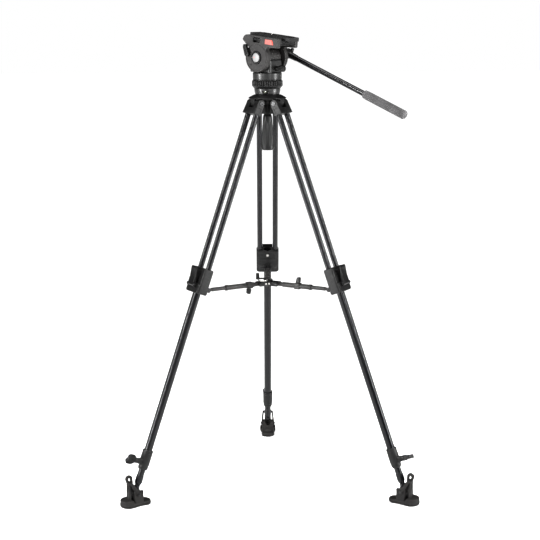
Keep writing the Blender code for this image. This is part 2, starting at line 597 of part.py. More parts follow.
def camera_plate(tilting):
    slide = empty("plate_slide", Matrix(), tilting)
    made = solid("camera_plate", box((-PLATE_X, PLATE_REAR_Y, PLATE_Z), (PLATE_X, PLATE_FRONT_Y, PLATE_TOP_Z)),
                 "casting", slide)
    bevel(made, 0.0015, 1)
    cut(made, box((-0.0036, -0.030, 0.05), (0.0036, 0.030, 0.10)))
    cut(made, box((-0.0085, -0.036, 0.05), (0.0085, 0.036, PLATE_TOP_Z - 0.0045)))
    screw = empty("camera_screw_axis", at(0, -0.012, 0), slide)
    head_z = PLATE_TOP_Z - 0.0045 - GAP
    profile = [(0.0, PLATE_TOP_Z + 0.0012), (0.0026, PLATE_TOP_Z + 0.0012), (0.00315, PLATE_TOP_Z + 0.0004),
               (0.00315, head_z), (0.0080, head_z), (0.0080, PLATE_Z + 0.0008), (0.0, PLATE_Z + 0.0008)]
    turned("camera_screw", profile, "steel", screw, sides=ROUND)


# ---------------------------------------------------------------- head: pan bar
def pan_bar(tilting):
    mount_shape = rod((RIGHT_X[1] + GAP, BAR_Y, BAR_Z), (0.0608, BAR_Y, BAR_Z), 0.0165, sides=TURNED)
    mount = solid("bar_mount", mount_shape, "casting", tilting)
    bevel(mount, 0.0012, 1, 50)
    frame = empty("bar_hinge", at(BAR_X, BAR_Y, BAR_Z) @ turn("X", BAR_DROOP), tilting)
    half = 0.0080
    bar = solid("pan_bar", rod((-half, 0, 0), (half, 0, 0), 0.0160, sides=TURNED), "tube", frame)
    bevel(bar, 0.0012, 1, 50)
    add(bar, rod((0, -0.006, 0), (0, -BAR_LENGTH + 0.004, 0), BAR_R))
    add(bar, rod((0, -0.010, 0), (0, -0.034, 0), 0.0088))

    grip = empty("grip", at(0, -BAR_LENGTH, 0) @ turn("X", -90.0), frame)
    r, bore, bore_end = GRIP_R, BAR_R + GAP, 0.0037
    profile = [(0.0, bore_end), (bore, bore_end), (bore, GRIP_LENGTH), (r - 0.002, GRIP_LENGTH),
               (r, GRIP_LENGTH - 0.003), (r, 0.006), (r - 0.002, 0.001), (r - 0.005, 0.0), (0.0, 0.0)]
    turned("bar_grip", profile, "rubber", grip, sides=ROUND)

    knob = empty("bar_clamp_axis", at(half + GAP, 0, 0), frame)
    made = solid("bar_clamp_knob", rod((0, 0, 0), (0.0100, 0, 0), 0.0095, 0.0080, 20), "casting", knob)
    wing = solid("clamp_wing", box((0.0055, -0.0045, -0.0170), (0.0150, 0.0045, 0.0170)), frame=knob)
    bevel(wing, 0.0020, 1)
    combine(made, wing, "UNION")


# ---------------------------------------------------------------- the whole tripod
bowl()
levelling()
pan_frame = pan_unit()
tilt_frame = cradle(pan_frame)
tilt_controls(tilt_frame)
camera_plate(tilt_frame)
pan_bar(tilt_frame)
spreader_hub()
for leg in LEG_AZIMUTH:
    leg_hinge = leg_frame(leg)
    top_casting(leg, leg_hinge)
    upper_tubes(leg, leg_hinge)
    mid_clamp(leg, leg_hinge)
    clamp_lever(leg, leg_hinge)
    lower_slide = lower_leg(leg, leg_hinge)
    wing_knob(leg, lower_slide)
    foot(leg, foot_stage(leg, lower_slide))
    spreader_arm(leg, leg_hinge)
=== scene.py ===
"""Looks for the tripod with fluid head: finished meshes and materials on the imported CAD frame."""

import json
import math

import bmesh
import bpy
from mathutils import Matrix, Vector


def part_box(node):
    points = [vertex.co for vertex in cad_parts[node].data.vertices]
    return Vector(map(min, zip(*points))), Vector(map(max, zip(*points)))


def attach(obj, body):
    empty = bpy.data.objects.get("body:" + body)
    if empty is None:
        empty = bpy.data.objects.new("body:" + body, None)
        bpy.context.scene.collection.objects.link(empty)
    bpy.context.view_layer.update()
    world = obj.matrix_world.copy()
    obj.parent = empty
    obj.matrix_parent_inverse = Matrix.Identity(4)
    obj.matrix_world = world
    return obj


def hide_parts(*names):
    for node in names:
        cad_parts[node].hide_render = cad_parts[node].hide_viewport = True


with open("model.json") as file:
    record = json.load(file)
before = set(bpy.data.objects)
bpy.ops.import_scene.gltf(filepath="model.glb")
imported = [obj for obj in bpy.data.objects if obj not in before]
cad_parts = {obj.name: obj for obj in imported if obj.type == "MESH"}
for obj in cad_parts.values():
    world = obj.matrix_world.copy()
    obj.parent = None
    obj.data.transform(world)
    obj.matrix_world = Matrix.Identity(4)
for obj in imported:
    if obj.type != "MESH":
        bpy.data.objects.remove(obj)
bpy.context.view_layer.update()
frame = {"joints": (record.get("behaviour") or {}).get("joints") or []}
joints = {joint["name"]: joint for joint in frame["joints"]}

# ---- sizes (metres, degrees)
SIDES = {"left": 210.0, "right": 330.0, "rear": 90.0}  # legs and their azimuths
PIVOT_R, PIVOT_Z = 0.0417, 1.212
TUBE_SPACING, TUBE_R, TUBE_BORE = 0.0505, 0.00845, 0.00715
LOWER_R, LOWER_BORE = 0.01235, 0.01055
FOOT_TUBE_R, FOOT_TUBE_BORE = 0.01, 0.0085
CLAMP_TOP, CLAMP_STEP, CLAMP_END = -0.53, -0.583, -0.61
COLLAR_TOP, COLLAR_END = -1.113, -1.175
KNOB_S, ANKLE_S = -1.152, -1.232
RIM_Z, BALL_Z, BALL_R = 1.237, 1.2538, 0.04
CAP_R, HANDLE_END_Z = 0.0585, 1.067
RING_Z, RING_TOP_Z, RING_R = 1.257, 1.2812, 0.0472
TABLE_TOP_Z, TABLE_R = 1.3053, 0.0445
PAN_LOCK_Y, PAN_LOCK_Z, TILT_Z = -0.0483, 1.3178, 1.351
SIDE_R, DIAL_R = 0.0445, 0.0197
LEFT_X, RIGHT_X = (-0.05, -0.032), (0.033, 0.047)
DECK_Z, DECK_TOP_Z, DECK_REAR_Y, DECK_FRONT_Y = 0.0445, 0.066, -0.079, 0.044
PLATE_X, PLATE_Z, PLATE_TOP_Z, PLATE_REAR_Y, PLATE_FRONT_Y = 0.0235, 0.0586, 0.0714, -0.1016, 0.056
BAR_Y, BAR_Z, BAR_LENGTH, BAR_R = -0.02, 0.012, 0.481, 0.0083
GRIP_LENGTH, GRIP_R = 0.16, 0.0134
ARM_LENGTH, SLEEVE_START, SLEEVE_END, HUB_PIN_R = 0.182, 0.0625, 0.165, 0.036
LEVER_X, LEVER_Z, LEVER_LENGTH = 0.028, -0.5865, 0.056
GAP = 0.0003
FINE, MEDIUM, COARSE = 96, 56, 32  # steps round a turned piece
SHARP_ANGLE = 38.0  # edges sharper than this aren't shaded smooth


# ---- frames
def at(x=0.0, y=0.0, z=0.0):
    return Matrix.Translation((x, y, z))


def turn(axis, degrees):
    return Matrix.Rotation(math.radians(degrees), 4, axis)


def frame_at(origin, x, y):
    """A frame whose X and Y follow two directions at right angles."""
    x = x.normalized()
    z = x.cross(y).normalized()
    made = Matrix((x, z.cross(x), z)).transposed().to_4x4()
    made.translation = origin
    return made


def place_of(joint):
    return Vector(joints[joint]["pos_m"])


def direction_of(joint):
    return Vector(joints[joint]["axis"])


def middle(node):
    low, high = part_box(node)
    return (low + high) / 2


UPRIGHT = turn("X", 90.0)  # outline x, y become x, z
SIDEWAYS = turn("Z", 90.0) @ turn("X", 90.0)  # outline x, y become y, z; thickness is along x
AXIS = at(place_of("pan").x, place_of("pan").y)
HEAD_RIGHT = direction_of("tilt")
PAN = frame_at(AXIS.translation, HEAD_RIGHT, -direction_of("pan_lock_turn"))
TILT = frame_at(place_of("tilt"), HEAD_RIGHT, direction_of("camera_plate_slide"))
to_grip = middle("bar_grip") - place_of("pan_bar_swing")
BAR = frame_at(place_of("pan_bar_swing"), HEAD_RIGHT, HEAD_RIGHT * to_grip.dot(HEAD_RIGHT) - to_grip)
HUB = AXIS @ at(z=middle("spreader_hub").z)
LEG, FOOT, ARM = {}, {}, {}
for side, azimuth in SIDES.items():
    across = direction_of("leg_fold_" + side)
    forward = across.cross(direction_of("lower_leg_slide_" + side))
    LEG[side] = frame_at(place_of("leg_fold_" + side), forward, across)
    outward = turn("Z", azimuth) @ Vector((1.0, 0.0, 0.0))
    FOOT[side] = frame_at(place_of("ankle_" + side), outward, across)
    ARM[side] = frame_at(place_of("spreader_arm_" + side), outward, across)


# ---- materials
MIX_A, MIX_B, MIX_COLOUR = 6, 7, 2  # the Mix node's colour sockets
ALONG = (1.0, 1.0, 0.03)  # grain drawn out along a tube


def grey(value):
    return (value, value, value)


def surface(name, slot, dark, light, rough, grain, bump, metallic=0.0, stretch=(1.0, 1.0, 1.0), coat=0.0,
            worn=None, cloud=24.0, spread=0.07, gloss=0.3):
    """A procedural finish: two tones, fine grain in roughness and bump, and paler edges where it wears."""
    made = bpy.data.materials.new(name)
    made.use_nodes = True
    nodes, links = made.node_tree.nodes, made.node_tree.links
    shader = nodes["Principled BSDF"]
    shader.inputs["Metallic"].default_value = metallic
    shader.inputs["Specular IOR Level"].default_value = gloss
    shader.inputs["Coat Weight"].default_value = coat
    shader.inputs["Coat Roughness"].default_value = 0.25
    place = nodes.new("ShaderNodeTexCoord")
    scaled = nodes.new("ShaderNodeMapping")
    scaled.inputs["Scale"].default_value = stretch
    links.new(place.outputs["Object"], scaled.inputs["Vector"])

    def noise(scale, detail):
        made_noise = nodes.new("ShaderNodeTexNoise")
        made_noise.inputs["Scale"].default_value = scale
        made_noise.inputs["Detail"].default_value = detail
        links.new(scaled.outputs["Vector"], made_noise.inputs["Vector"])
        return made_noise.outputs["Fac"]

    def ranged(source, low, high, to_low, to_high):
        made_range = nodes.new("ShaderNodeMapRange")
        for socket, value in zip(("From Min", "From Max", "To Min", "To Max"), (low, high, to_low, to_high)):
            made_range.inputs[socket].default_value = value
        links.new(source, made_range.inputs["Value"])
        return made_range.outputs["Result"]

    def mixed(factor, first, second):
        made_mix = nodes.new("ShaderNodeMix")
        made_mix.data_type = "RGBA"
        links.new(factor, made_mix.inputs["Factor"])
        for socket, value in ((MIX_A, first), (MIX_B, second)):
            if isinstance(value, tuple):
                made_mix.inputs[socket].default_value = (*value, 1.0)
            else:
                links.new(value, made_mix.inputs[socket])
        return made_mix.outputs[MIX_COLOUR]

    broad, fine = noise(cloud, 3.0), noise(grain, 5.0)
    tone = mixed(ranged(broad, 0.35, 0.65, 0.0, 1.0), dark, light)
    speck = mixed(ranged(fine, 0.62, 0.8, 0.0, 0.6), tone, tuple(min(1.0, v * 1.6) for v in light))
    if worn:
        geometry = nodes.new("ShaderNodeNewGeometry")
        edge = ranged(geometry.outputs["Pointiness"], 0.54, 0.64, 0.0, 0.3)
        patchy = nodes.new("ShaderNodeMath")
        patchy.operation = "MULTIPLY"
        links.new(edge, patchy.inputs[0])
        links.new(ranged(noise(160.0, 3.0), 0.4, 0.62, 0.0, 1.0), patchy.inputs[1])
        speck = mixed(patchy.outputs[0], speck, worn)
    links.new(speck, shader.inputs["Base Color"])
    links.new(ranged(fine, 0.3, 0.7, rough - spread, rough + spread), shader.inputs["Roughness"])
    relief = nodes.new("ShaderNodeBump")
    relief.inputs["Strength"].default_value = 0.55
    relief.inputs["Distance"].default_value = bump
    links.new(fine, relief.inputs["Height"])
    links.new(relief.outputs["Normal"], shader.inputs["Normal"])
    return made, slot


LOOKS = {  # each surface: name, slot, dark and light tone, roughness, grain per metre, bump depth
    "tube": surface("tube_anodised", "tube", (0.006, 0.006, 0.007), (0.01, 0.01, 0.011), 0.16, 900.0, 0.00002,
                    stretch=ALONG, spread=0.04, gloss=0.32),
    "casting": surface("casting_moulded", "casting", grey(0.006), grey(0.011), 0.42, 1500.0, 0.00006, worn=grey(0.1)),
    "head": surface("head_moulded", "head", (0.021, 0.02, 0.02), (0.033, 0.032, 0.031), 0.44, 1600.0, 0.00006,
                    worn=grey(0.2)),
    "turned": surface("turned_satin", "head", grey(0.01), grey(0.016), 0.36, 900.0, 0.00002, coat=0.15, gloss=0.5),
    "dark": surface("head_dark", "casting", grey(0.005), grey(0.009), 0.34, 1500.0, 0.00005, worn=grey(0.09)),
    "rubber": surface("rubber_matte", "rubber", (0.01, 0.009, 0.009), (0.018, 0.017, 0.016), 0.66, 700.0, 0.00015,
                      worn=(0.085, 0.082, 0.08)),
    "foam": surface("grip_foam", "rubber", (0.07, 0.069, 0.07), (0.1, 0.098, 0.1), 0.85, 1100.0, 0.0003),
    "steel": surface("steel_brushed", "steel", (0.5, 0.49, 0.48), (0.66, 0.65, 0.63), 0.28, 800.0, 0.00002,
                     metallic=1.0, stretch=(1.0, 1.0, 0.08)),
    "black_steel": surface("steel_blackened", "steel", (0.035, 0.035, 0.036), (0.055, 0.055, 0.056), 0.32, 800.0,
                           0.00002, metallic=0.8, worn=grey(0.3)),
    "dial": surface("dial_satin", "dial", grey(0.23), grey(0.3), 0.4, 900.0, 0.00002),
    "accent": surface("accent_red", "dial", (0.6, 0.07, 0.045), (0.7, 0.1, 0.075), 0.4, 900.0, 0.00002),
    "accent_pale": surface("accent_pale", "dial", (0.36, 0.11, 0.098), (0.43, 0.14, 0.126), 0.42, 900.0, 0.00002),
    "mark": surface("mark_white", "dial", (0.7, 0.7, 0.68), (0.8, 0.8, 0.78), 0.5, 900.0, 0.00001),
    "level": surface("level_liquid", "dial", (0.05, 0.058, 0.04), (0.075, 0.085, 0.055), 0.12, 300.0, 0.00001,
                     coat=0.8),
}


# ---- shapes
def arc(centre, radius, start, end, steps=24):
    angles = [math.radians(start + (end - start) * i / steps) for i in range(steps + 1)]
    return [(centre[0] + radius * math.cos(a), centre[1] + radius * math.sin(a)) for a in angles]


def fillet(points, radius, steps=3, closed=True):
    """The same outline with its corners rounded."""
    made = []
    for i, here in enumerate(points):
        if not closed and i in (0, len(points) - 1):
            made.append(here)
            continue
        here, before, after = Vector(here), Vector(points[i - 1]), Vector(points[(i + 1) % len(points)])
        room = min(radius, 0.45 * (before - here).length, 0.45 * (after - here).length)
        if room < 0.00005 or (here - before).angle(after - here, 0.0) < math.radians(12.0):
            made.append(tuple(here))
            continue
        start, end = here + (before - here).normalized() * room, here + (after - here).normalized() * room
        for k in range(steps + 1):
            t = k / steps
            made.append(tuple(start * (1 - t) ** 2 + here * (2 * t * (1 - t)) + end * t * t))
    return made


def oblong(x, y0, y1, radius, steps):
    """A rounded rectangle across the middle line."""
    return fillet([(-x, y0), (x, y0), (x, y1), (-x, y1)], radius, steps)


def revolved(profile, steps=MEDIUM, ring=False, round_off=0.0005, flute=None):
    """A turned solid; flute(angle, height, radius) gives how far the surface sinks there."""
    shape = bmesh.new()
    rings = []
    for radius, height in fillet(profile, round_off, closed=ring):
        if radius < 0.000001:
            rings.append([shape.verts.new((0.0, 0.0, height))])
            continue
        angles = [2.0 * math.pi * i / steps for i in range(steps)]
        sunk = [radius - (flute(a, height, radius) if flute else 0.0) for a in angles]
        rings.append([shape.verts.new((r * math.cos(a), r * math.sin(a), height)) for a, r in zip(angles, sunk)])
    for a, b in zip(rings, rings[1:] + (rings[:1] if ring else [])):
        for i in range(steps):
            j = (i + 1) % steps
            corners = list(dict.fromkeys((a[i % len(a)], a[j % len(a)], b[j % len(b)], b[i % len(b)])))
            if len(corners) > 2:
                shape.faces.new(corners)
    return shape


def rounded(shape, edges, width, segments):
    if width:
        bmesh.ops.bevel(shape, geom=edges, offset=width, segments=segments, profile=0.5, affect="EDGES",
                        clamp_overlap=True)
    return shape


def slab(outline, low, high, edge=0.0008, segments=3):
    """A flat outline with thickness and rounded rims."""
    shape = bmesh.new()
    under = [shape.verts.new((x, y, low)) for x, y in outline]
    over = [shape.verts.new((x, y, high)) for x, y in outline]
    rims = [shape.faces.new(under[::-1]), shape.faces.new(over)]
    for i in range(len(outline)):
        j = (i + 1) % len(outline)
        shape.faces.new((under[i], under[j], over[j], over[i]))
    bmesh.ops.recalc_face_normals(shape, faces=shape.faces)
    return rounded(shape, [e for face in rims for e in face.edges], edge, segments)


def block(low, high, edge=0.001, segments=3):
    """A box with all its edges rounded."""
    low, high = Vector(low), Vector(high)
    shape = bmesh.new()
    matrix = Matrix.Translation((low + high) / 2) @ Matrix.Diagonal((*(high - low), 1.0))
    bmesh.ops.create_cube(shape, size=1.0, matrix=matrix)
    return rounded(shape, shape.edges[:], edge, segments)


def bar(start, end, radius, end_radius=None, steps=MEDIUM, round_off=0.0006):
    """A round bar between two points."""
    start, end = Vector(start), Vector(end)
    length = (end - start).length
    end_radius = radius if end_radius is None else end_radius
    shape = revolved([(0.0, length), (end_radius, length), (radius, 0.0), (0.0, 0.0)], steps, round_off=round_off)
    return moved(shape, Matrix.Translation(start) @ (end - start).to_track_quat("Z", "Y").to_matrix().to_4x4())


def wave(angle, count):
    """Runs from 0 to 1 and back, count times round."""
    return 0.5 - 0.5 * math.cos(angle * count)


def between(way, near, far):
    """Two distances from the middle plane on one side, the lower first."""
    return sorted((way * near, way * far))


def moved(shape, matrix):
    shape.transform(matrix)
    return shape


def mesh_of(shape, name="shape"):
    """The shape's faces as a mesh, with their normals out; the shape is used up."""
    mesh = bpy.data.meshes.new(name)
    bmesh.ops.recalc_face_normals(shape, faces=shape.faces)
    shape.to_mesh(mesh)
    shape.free()
    return mesh


def linked(name, data):
    made = bpy.data.objects.new(name, data)
    bpy.context.scene.collection.objects.link(made)
    return made


def joined(*shapes):
    """Several closed shapes as one mesh."""
    whole = bmesh.new()
    for shape in shapes:
        mesh = mesh_of(shape)
        whole.from_mesh(mesh)
        bpy.data.meshes.remove(mesh)
    return whole


def combined(target, tools, operation):
    target, *tools = [linked("shape", mesh_of(shape)) for shape in (target, *tools)]
    for tool in tools:
        change = target.modifiers.new("change", "BOOLEAN")
        change.operation = operation
        change.solver = "EXACT"
        change.object = tool
    bpy.context.view_layer.update()
    result = bmesh.new()
    result.from_object(target, bpy.context.evaluated_depsgraph_get())
    for made in (target, *tools):
        mesh = made.data
        bpy.data.objects.remove(made)
        bpy.data.meshes.remove(mesh)
    bmesh.ops.remove_doubles(result, verts=result.verts, dist=0.000005)
    return result


def carved(target, *tools):
    return combined(target, tools, "DIFFERENCE")


def fused(target, *tools):
    return combined(target, tools, "UNION")


def piece(name, shape, look, body, place, instead_of=()):
    """A finished mesh that rides on a CAD body and may stand for CAD nodes."""
    mesh = mesh_of(shape, name)
    finish, slot = LOOKS[look]
    mesh.materials.append(finish)
    mesh.shade_smooth()
    mesh.set_sharp_from_angle(angle=math.radians(SHARP_ANGLE))
    made = linked(name, mesh)
    made.matrix_world = place
    weigh = made.modifiers.new("weighted_normals", "WEIGHTED_NORMAL")
    weigh.keep_sharp = True
    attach(made, body)
    if instead_of:
        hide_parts(*instead_of)
    return made


def cap_screw(radius, height, place):
    """A socket cap screw standing on a face, its hexagonal socket up."""
    head = revolved([(0.0, height), (radius, height), (radius, -0.0004), (0.0, -0.0004)], COARSE, round_off=0.0004)
    socket = slab(arc((0, 0), radius * 0.52, 0, 300, 5), height * 0.35, height * 2.0, edge=0.0)
    return moved(carved(head, socket), place)


def screw_pair(radius, height, x, y, z):
    """Two cap screws that look outwards from the faces at +y and -y."""
    return [cap_screw(radius, height, at(x, way * y, z) @ FACE_Y[way]) for way in (-1, 1)]


def ball_arc(radius, from_r, to_r, steps=16):
    """Points (radius, height) down the outside of the levelling ball's lower half."""
    start, end = math.acos(from_r / radius), math.acos(to_r / radius)
    angles = [start + (end - start) * i / steps for i in range(steps + 1)]
    return [(radius * math.cos(a), BALL_Z - radius * math.sin(a)) for a in angles]


FACE_RIGHT, FACE_LEFT = turn("Y", 90.0), turn("Y", -90.0)  # stand a shape on a face that looks along X
FACE_Y = {1: turn("X", -90.0), -1: turn("X", 90.0)}  # or along Y


# ---- bowl, ball and handle
def bowl():
    inner, outer, hole, under_z = BALL_R + GAP, BALL_R + 0.004, 0.0128, RIM_Z - 0.0108
    rim_r = math.sqrt(inner ** 2 - (BALL_Z - RIM_Z) ** 2)
    under_r = math.sqrt(outer ** 2 - (BALL_Z - under_z) ** 2)
    profile = [(0.0425, RIM_Z), (0.0445, RIM_Z - 0.0012), (CAP_R - 0.004, RIM_Z - 0.0062),
               (CAP_R, RIM_Z - 0.009), (CAP_R, under_z)]
    profile += ball_arc(outer, under_r, hole) + ball_arc(inner, rim_r, hole)[::-1]
    skirt = [(0.0255, 1.229), (0.0292, 1.229), (0.0292, 1.2105), (0.0298, 1.2098), (0.0298, 1.2082),
             (0.0255, 1.2075)]
    shapes = [revolved(profile, FINE, ring=True, round_off=0.001), revolved(skirt, FINE, ring=True)]
    for azimuth in SIDES.values():
        eye = 0.0112
        outline = [(0.031, RIM_Z - 0.0095)] + arc((PIVOT_R, PIVOT_Z), eye, 175, 365)
        outline += [(PIVOT_R + eye, RIM_Z - 0.0095)]
        shapes.append(moved(slab(outline, -0.0118, 0.0118), turn("Z", azimuth) @ UPRIGHT))
        pin = bar((PIVOT_R, -0.0325, PIVOT_Z), (PIVOT_R, 0.0325, PIVOT_Z), 0.004)
        shapes.append(moved(pin, turn("Z", azimuth)))
    piece("bowl_shell", joined(*shapes), "casting", "root", AXIS, ["bowl_casting"])


def levelling():
    washer_in, washer_out = BALL_R + 0.0043, BALL_R + 0.0075
    profile = ball_arc(washer_in, 0.018, 0.0057, 8)[::-1] + ball_arc(washer_out, 0.0185, 0.0057, 8)
    piece("ball_washer", revolved(profile, FINE, ring=True), "steel", "ball_washer", AXIS, ["clamp_washer"])
    rod_top, neck_top = BALL_Z - BALL_R + 0.012, BALL_Z - washer_out - GAP
    screw = [(0.0, rod_top), (0.005, rod_top), (0.005, neck_top - 0.004), (0.0, neck_top - 0.004)]
    piece("levelling_screw", revolved(screw, COARSE), "steel", "levelling_handle", AXIS)
    grip = [(0.0, neck_top), (0.0105, neck_top), (0.0105, 1.177), (0.0128, 1.173), (0.014, 1.166),
            (0.015, 1.15), (0.0205, 1.085), (0.0213, 1.076), (0.0204, 1.0705), (0.017, HANDLE_END_Z),
            (0.0, HANDLE_END_Z)]

    def ribs(angle, height, radius):
        """Shallow flutes along the middle of the grip."""
        fade = max(0.0, min(1.0, (height - 1.078) / 0.006, (1.16 - height) / 0.01))
        return 0.0007 * fade * wave(angle, 24.0) ** 2

    dense = []
    for (r0, z0), (r1, z1) in zip(grip, grip[1:]):
        cuts = max(1, int(abs(z0 - z1) / 0.004))
        dense += [(r0 + (r1 - r0) * i / cuts, z0 + (z1 - z0) * i / cuts) for i in range(cuts)]
    dense.append(grip[-1])
    piece("levelling_grip", revolved(dense, 192, flute=ribs, round_off=0.0006), "dark", "levelling_handle", AXIS,
          ["levelling_handle"])


def head_base():
    hub_r, shelf_z = 0.0362, RING_Z - GAP
    shelf_r = math.sqrt(BALL_R ** 2 - (shelf_z - BALL_Z) ** 2)
    profile = [(0.0, RING_TOP_Z), (hub_r, RING_TOP_Z), (hub_r, shelf_z), (shelf_r, shelf_z),
               (BALL_R, BALL_Z + 0.0006), (BALL_R, BALL_Z)]
    profile += ball_arc(BALL_R, BALL_R * 0.9999, 0.0053)[1:] + [(0.0053, BALL_Z - BALL_R + 0.0123),
                                                              (0.0, BALL_Z - BALL_R + 0.0123)]
    piece("base_cup", revolved(profile, FINE, round_off=0.0003), "turned", "head_base", AXIS, ["head_base"])
    count, depth = 40, 0.0026
    low, high = RING_Z + 0.0085, RING_TOP_Z - 0.002

    def ribs(angle, height, radius):
        if not low - 0.0001 < height < high + 0.0001 or radius < RING_R - 0.002:
            return 0.0
        return depth * wave(angle, count) ** 1.5

    ring = [(hub_r + GAP, RING_TOP_Z - GAP), (RING_R - 0.002, RING_TOP_Z - GAP), (RING_R - 0.0004, high + 0.0006),
            (RING_R, high), (RING_R, low), (RING_R - 0.0004, low - 0.0008), (RING_R - 0.001, RING_Z + 0.0065),
            (0.0412, RING_Z + 0.0004), (0.0404, RING_Z), (hub_r + GAP, RING_Z)]
    piece("drag_ring", revolved(ring, count * 10, ring=True, round_off=0.0002, flute=ribs), "dark",
          "pan_drag_ring", AXIS, ["pan_drag_ring"])


def bubble_level():
    """A round bubble level let into the front of the head's base cup."""
    spot = PAN @ turn("Z", 212.0) @ at(0.0385, 0.0, RING_Z - 0.0074) @ turn("Y", 68.0)
    housing = [(0.0, 0.0012), (0.0088, 0.0012), (0.0096, 0.0004), (0.0096, -0.007), (0.0, -0.007)]
    window = [(0.0, 0.0003), (0.0066, 0.0003), (0.0066, 0.003), (0.0, 0.003)]
    ring = carved(revolved(housing), revolved(window, round_off=0.0))
    piece("level_housing", ring, "dark", "head_base", spot)
    vial = [(0.0, 0.0011), (0.004, 0.0009), (0.0062, 0.0004), (0.0062, -0.001), (0.0, -0.001)]
    piece("level_vial", revolved(vial), "level", "head_base", spot)
    bubble = [(0.0, 0.0006), (0.0014, 0.0004), (0.002, 0.0), (0.0014, -0.0004), (0.0, -0.0006)]
    piece("level_bubble", revolved(bubble, COARSE), "mark", "head_base", spot @ at(0.0012, 0.001, 0.0009))


# ---- legs
def leg_top(side):
    outline = arc((0, 0), 0.0122, -10, 190) + fillet([(-0.01, -0.036), (0.016, -0.036)], 0.002, closed=False)
    body = moved(slab(outline, -0.0355, 0.0355, 0.0014), UPRIGHT)
    tools = [block((-0.03, -0.0122, -0.017), (0.03, 0.0122, 0.03), 0.0),
             bar((0, -0.0328, 0), (0, 0.0328, 0), 0.0043)]
    for way in (-1, 1):
        y = way * TUBE_SPACING / 2
        tools.append(bar((0, y, -0.06), (0, y, -0.02), TUBE_R + 0.0002))
        y0, y1 = between(way, 0.0347, 0.04)
        tools.append(block((-0.005, y0, -0.032), (0.01, y1, -0.015), 0.0012))
    piece("apex_" + side, carved(body, *tools), "casting", "leg_" + side, LEG[side], ["leg_top_" + side])
    caps = screw_pair(0.0064, 0.0016, 0, 0.0355, 0)
    piece("apex_screws_" + side, joined(*caps), "black_steel", "leg_" + side, LEG[side])


def pipe(bore, radius, top, bottom):
    """A plain tube between two heights."""
    profile = [(bore, top), (radius, top), (radius, bottom), (bore, bottom)]
    return revolved(profile, ring=True, round_off=0.0003)


def leg_tubes(side):
    for way, word in ((-1, "a"), (1, "b")):
        tube = pipe(TUBE_BORE, TUBE_R, -0.0205, CLAMP_TOP - 0.0345)
        place = LEG[side] @ at(0, way * TUBE_SPACING / 2)
        piece(f"twin_tube_{side}_{word}", tube, "tube", "leg_" + side, place, [f"upper_tube_{side}_{word}"])
    tube = pipe(LOWER_BORE, LOWER_R, CLAMP_TOP - 0.006, COLLAR_END + 0.003)
    piece("second_stage_" + side, tube, "tube", "lower_leg_" + side, LEG[side], ["lower_tube_" + side])
    top, plug, ball = -0.748, ANKLE_S + 0.02, 0.0093
    shoulder, shoulder_r, sleeve_top, sleeve_r = COLLAR_END - GAP, 0.0106, ANKLE_S + 0.0358, 0.0118
    profile = [(0.0, plug), (FOOT_TUBE_BORE, plug), (FOOT_TUBE_BORE, top), (FOOT_TUBE_R, top),
               (FOOT_TUBE_R, shoulder), (shoulder_r, shoulder), (shoulder_r, sleeve_top + 0.0012),
               (sleeve_r, sleeve_top), (sleeve_r, sleeve_top - 0.0035), (sleeve_r - 0.0005, sleeve_top - 0.004),
               (sleeve_r - 0.0005, sleeve_top - 0.0052), (sleeve_r, sleeve_top - 0.0057),
               (sleeve_r, ANKLE_S + 0.015)]
    profile += arc((0, ANKLE_S), ball, 35, -90, 12)
    profile[-1] = (0.0, ANKLE_S - ball)
    body = "foot_tube_" + side
    piece("third_stage_" + side, revolved(profile, round_off=0.0003), "tube", body, LEG[side], [body])


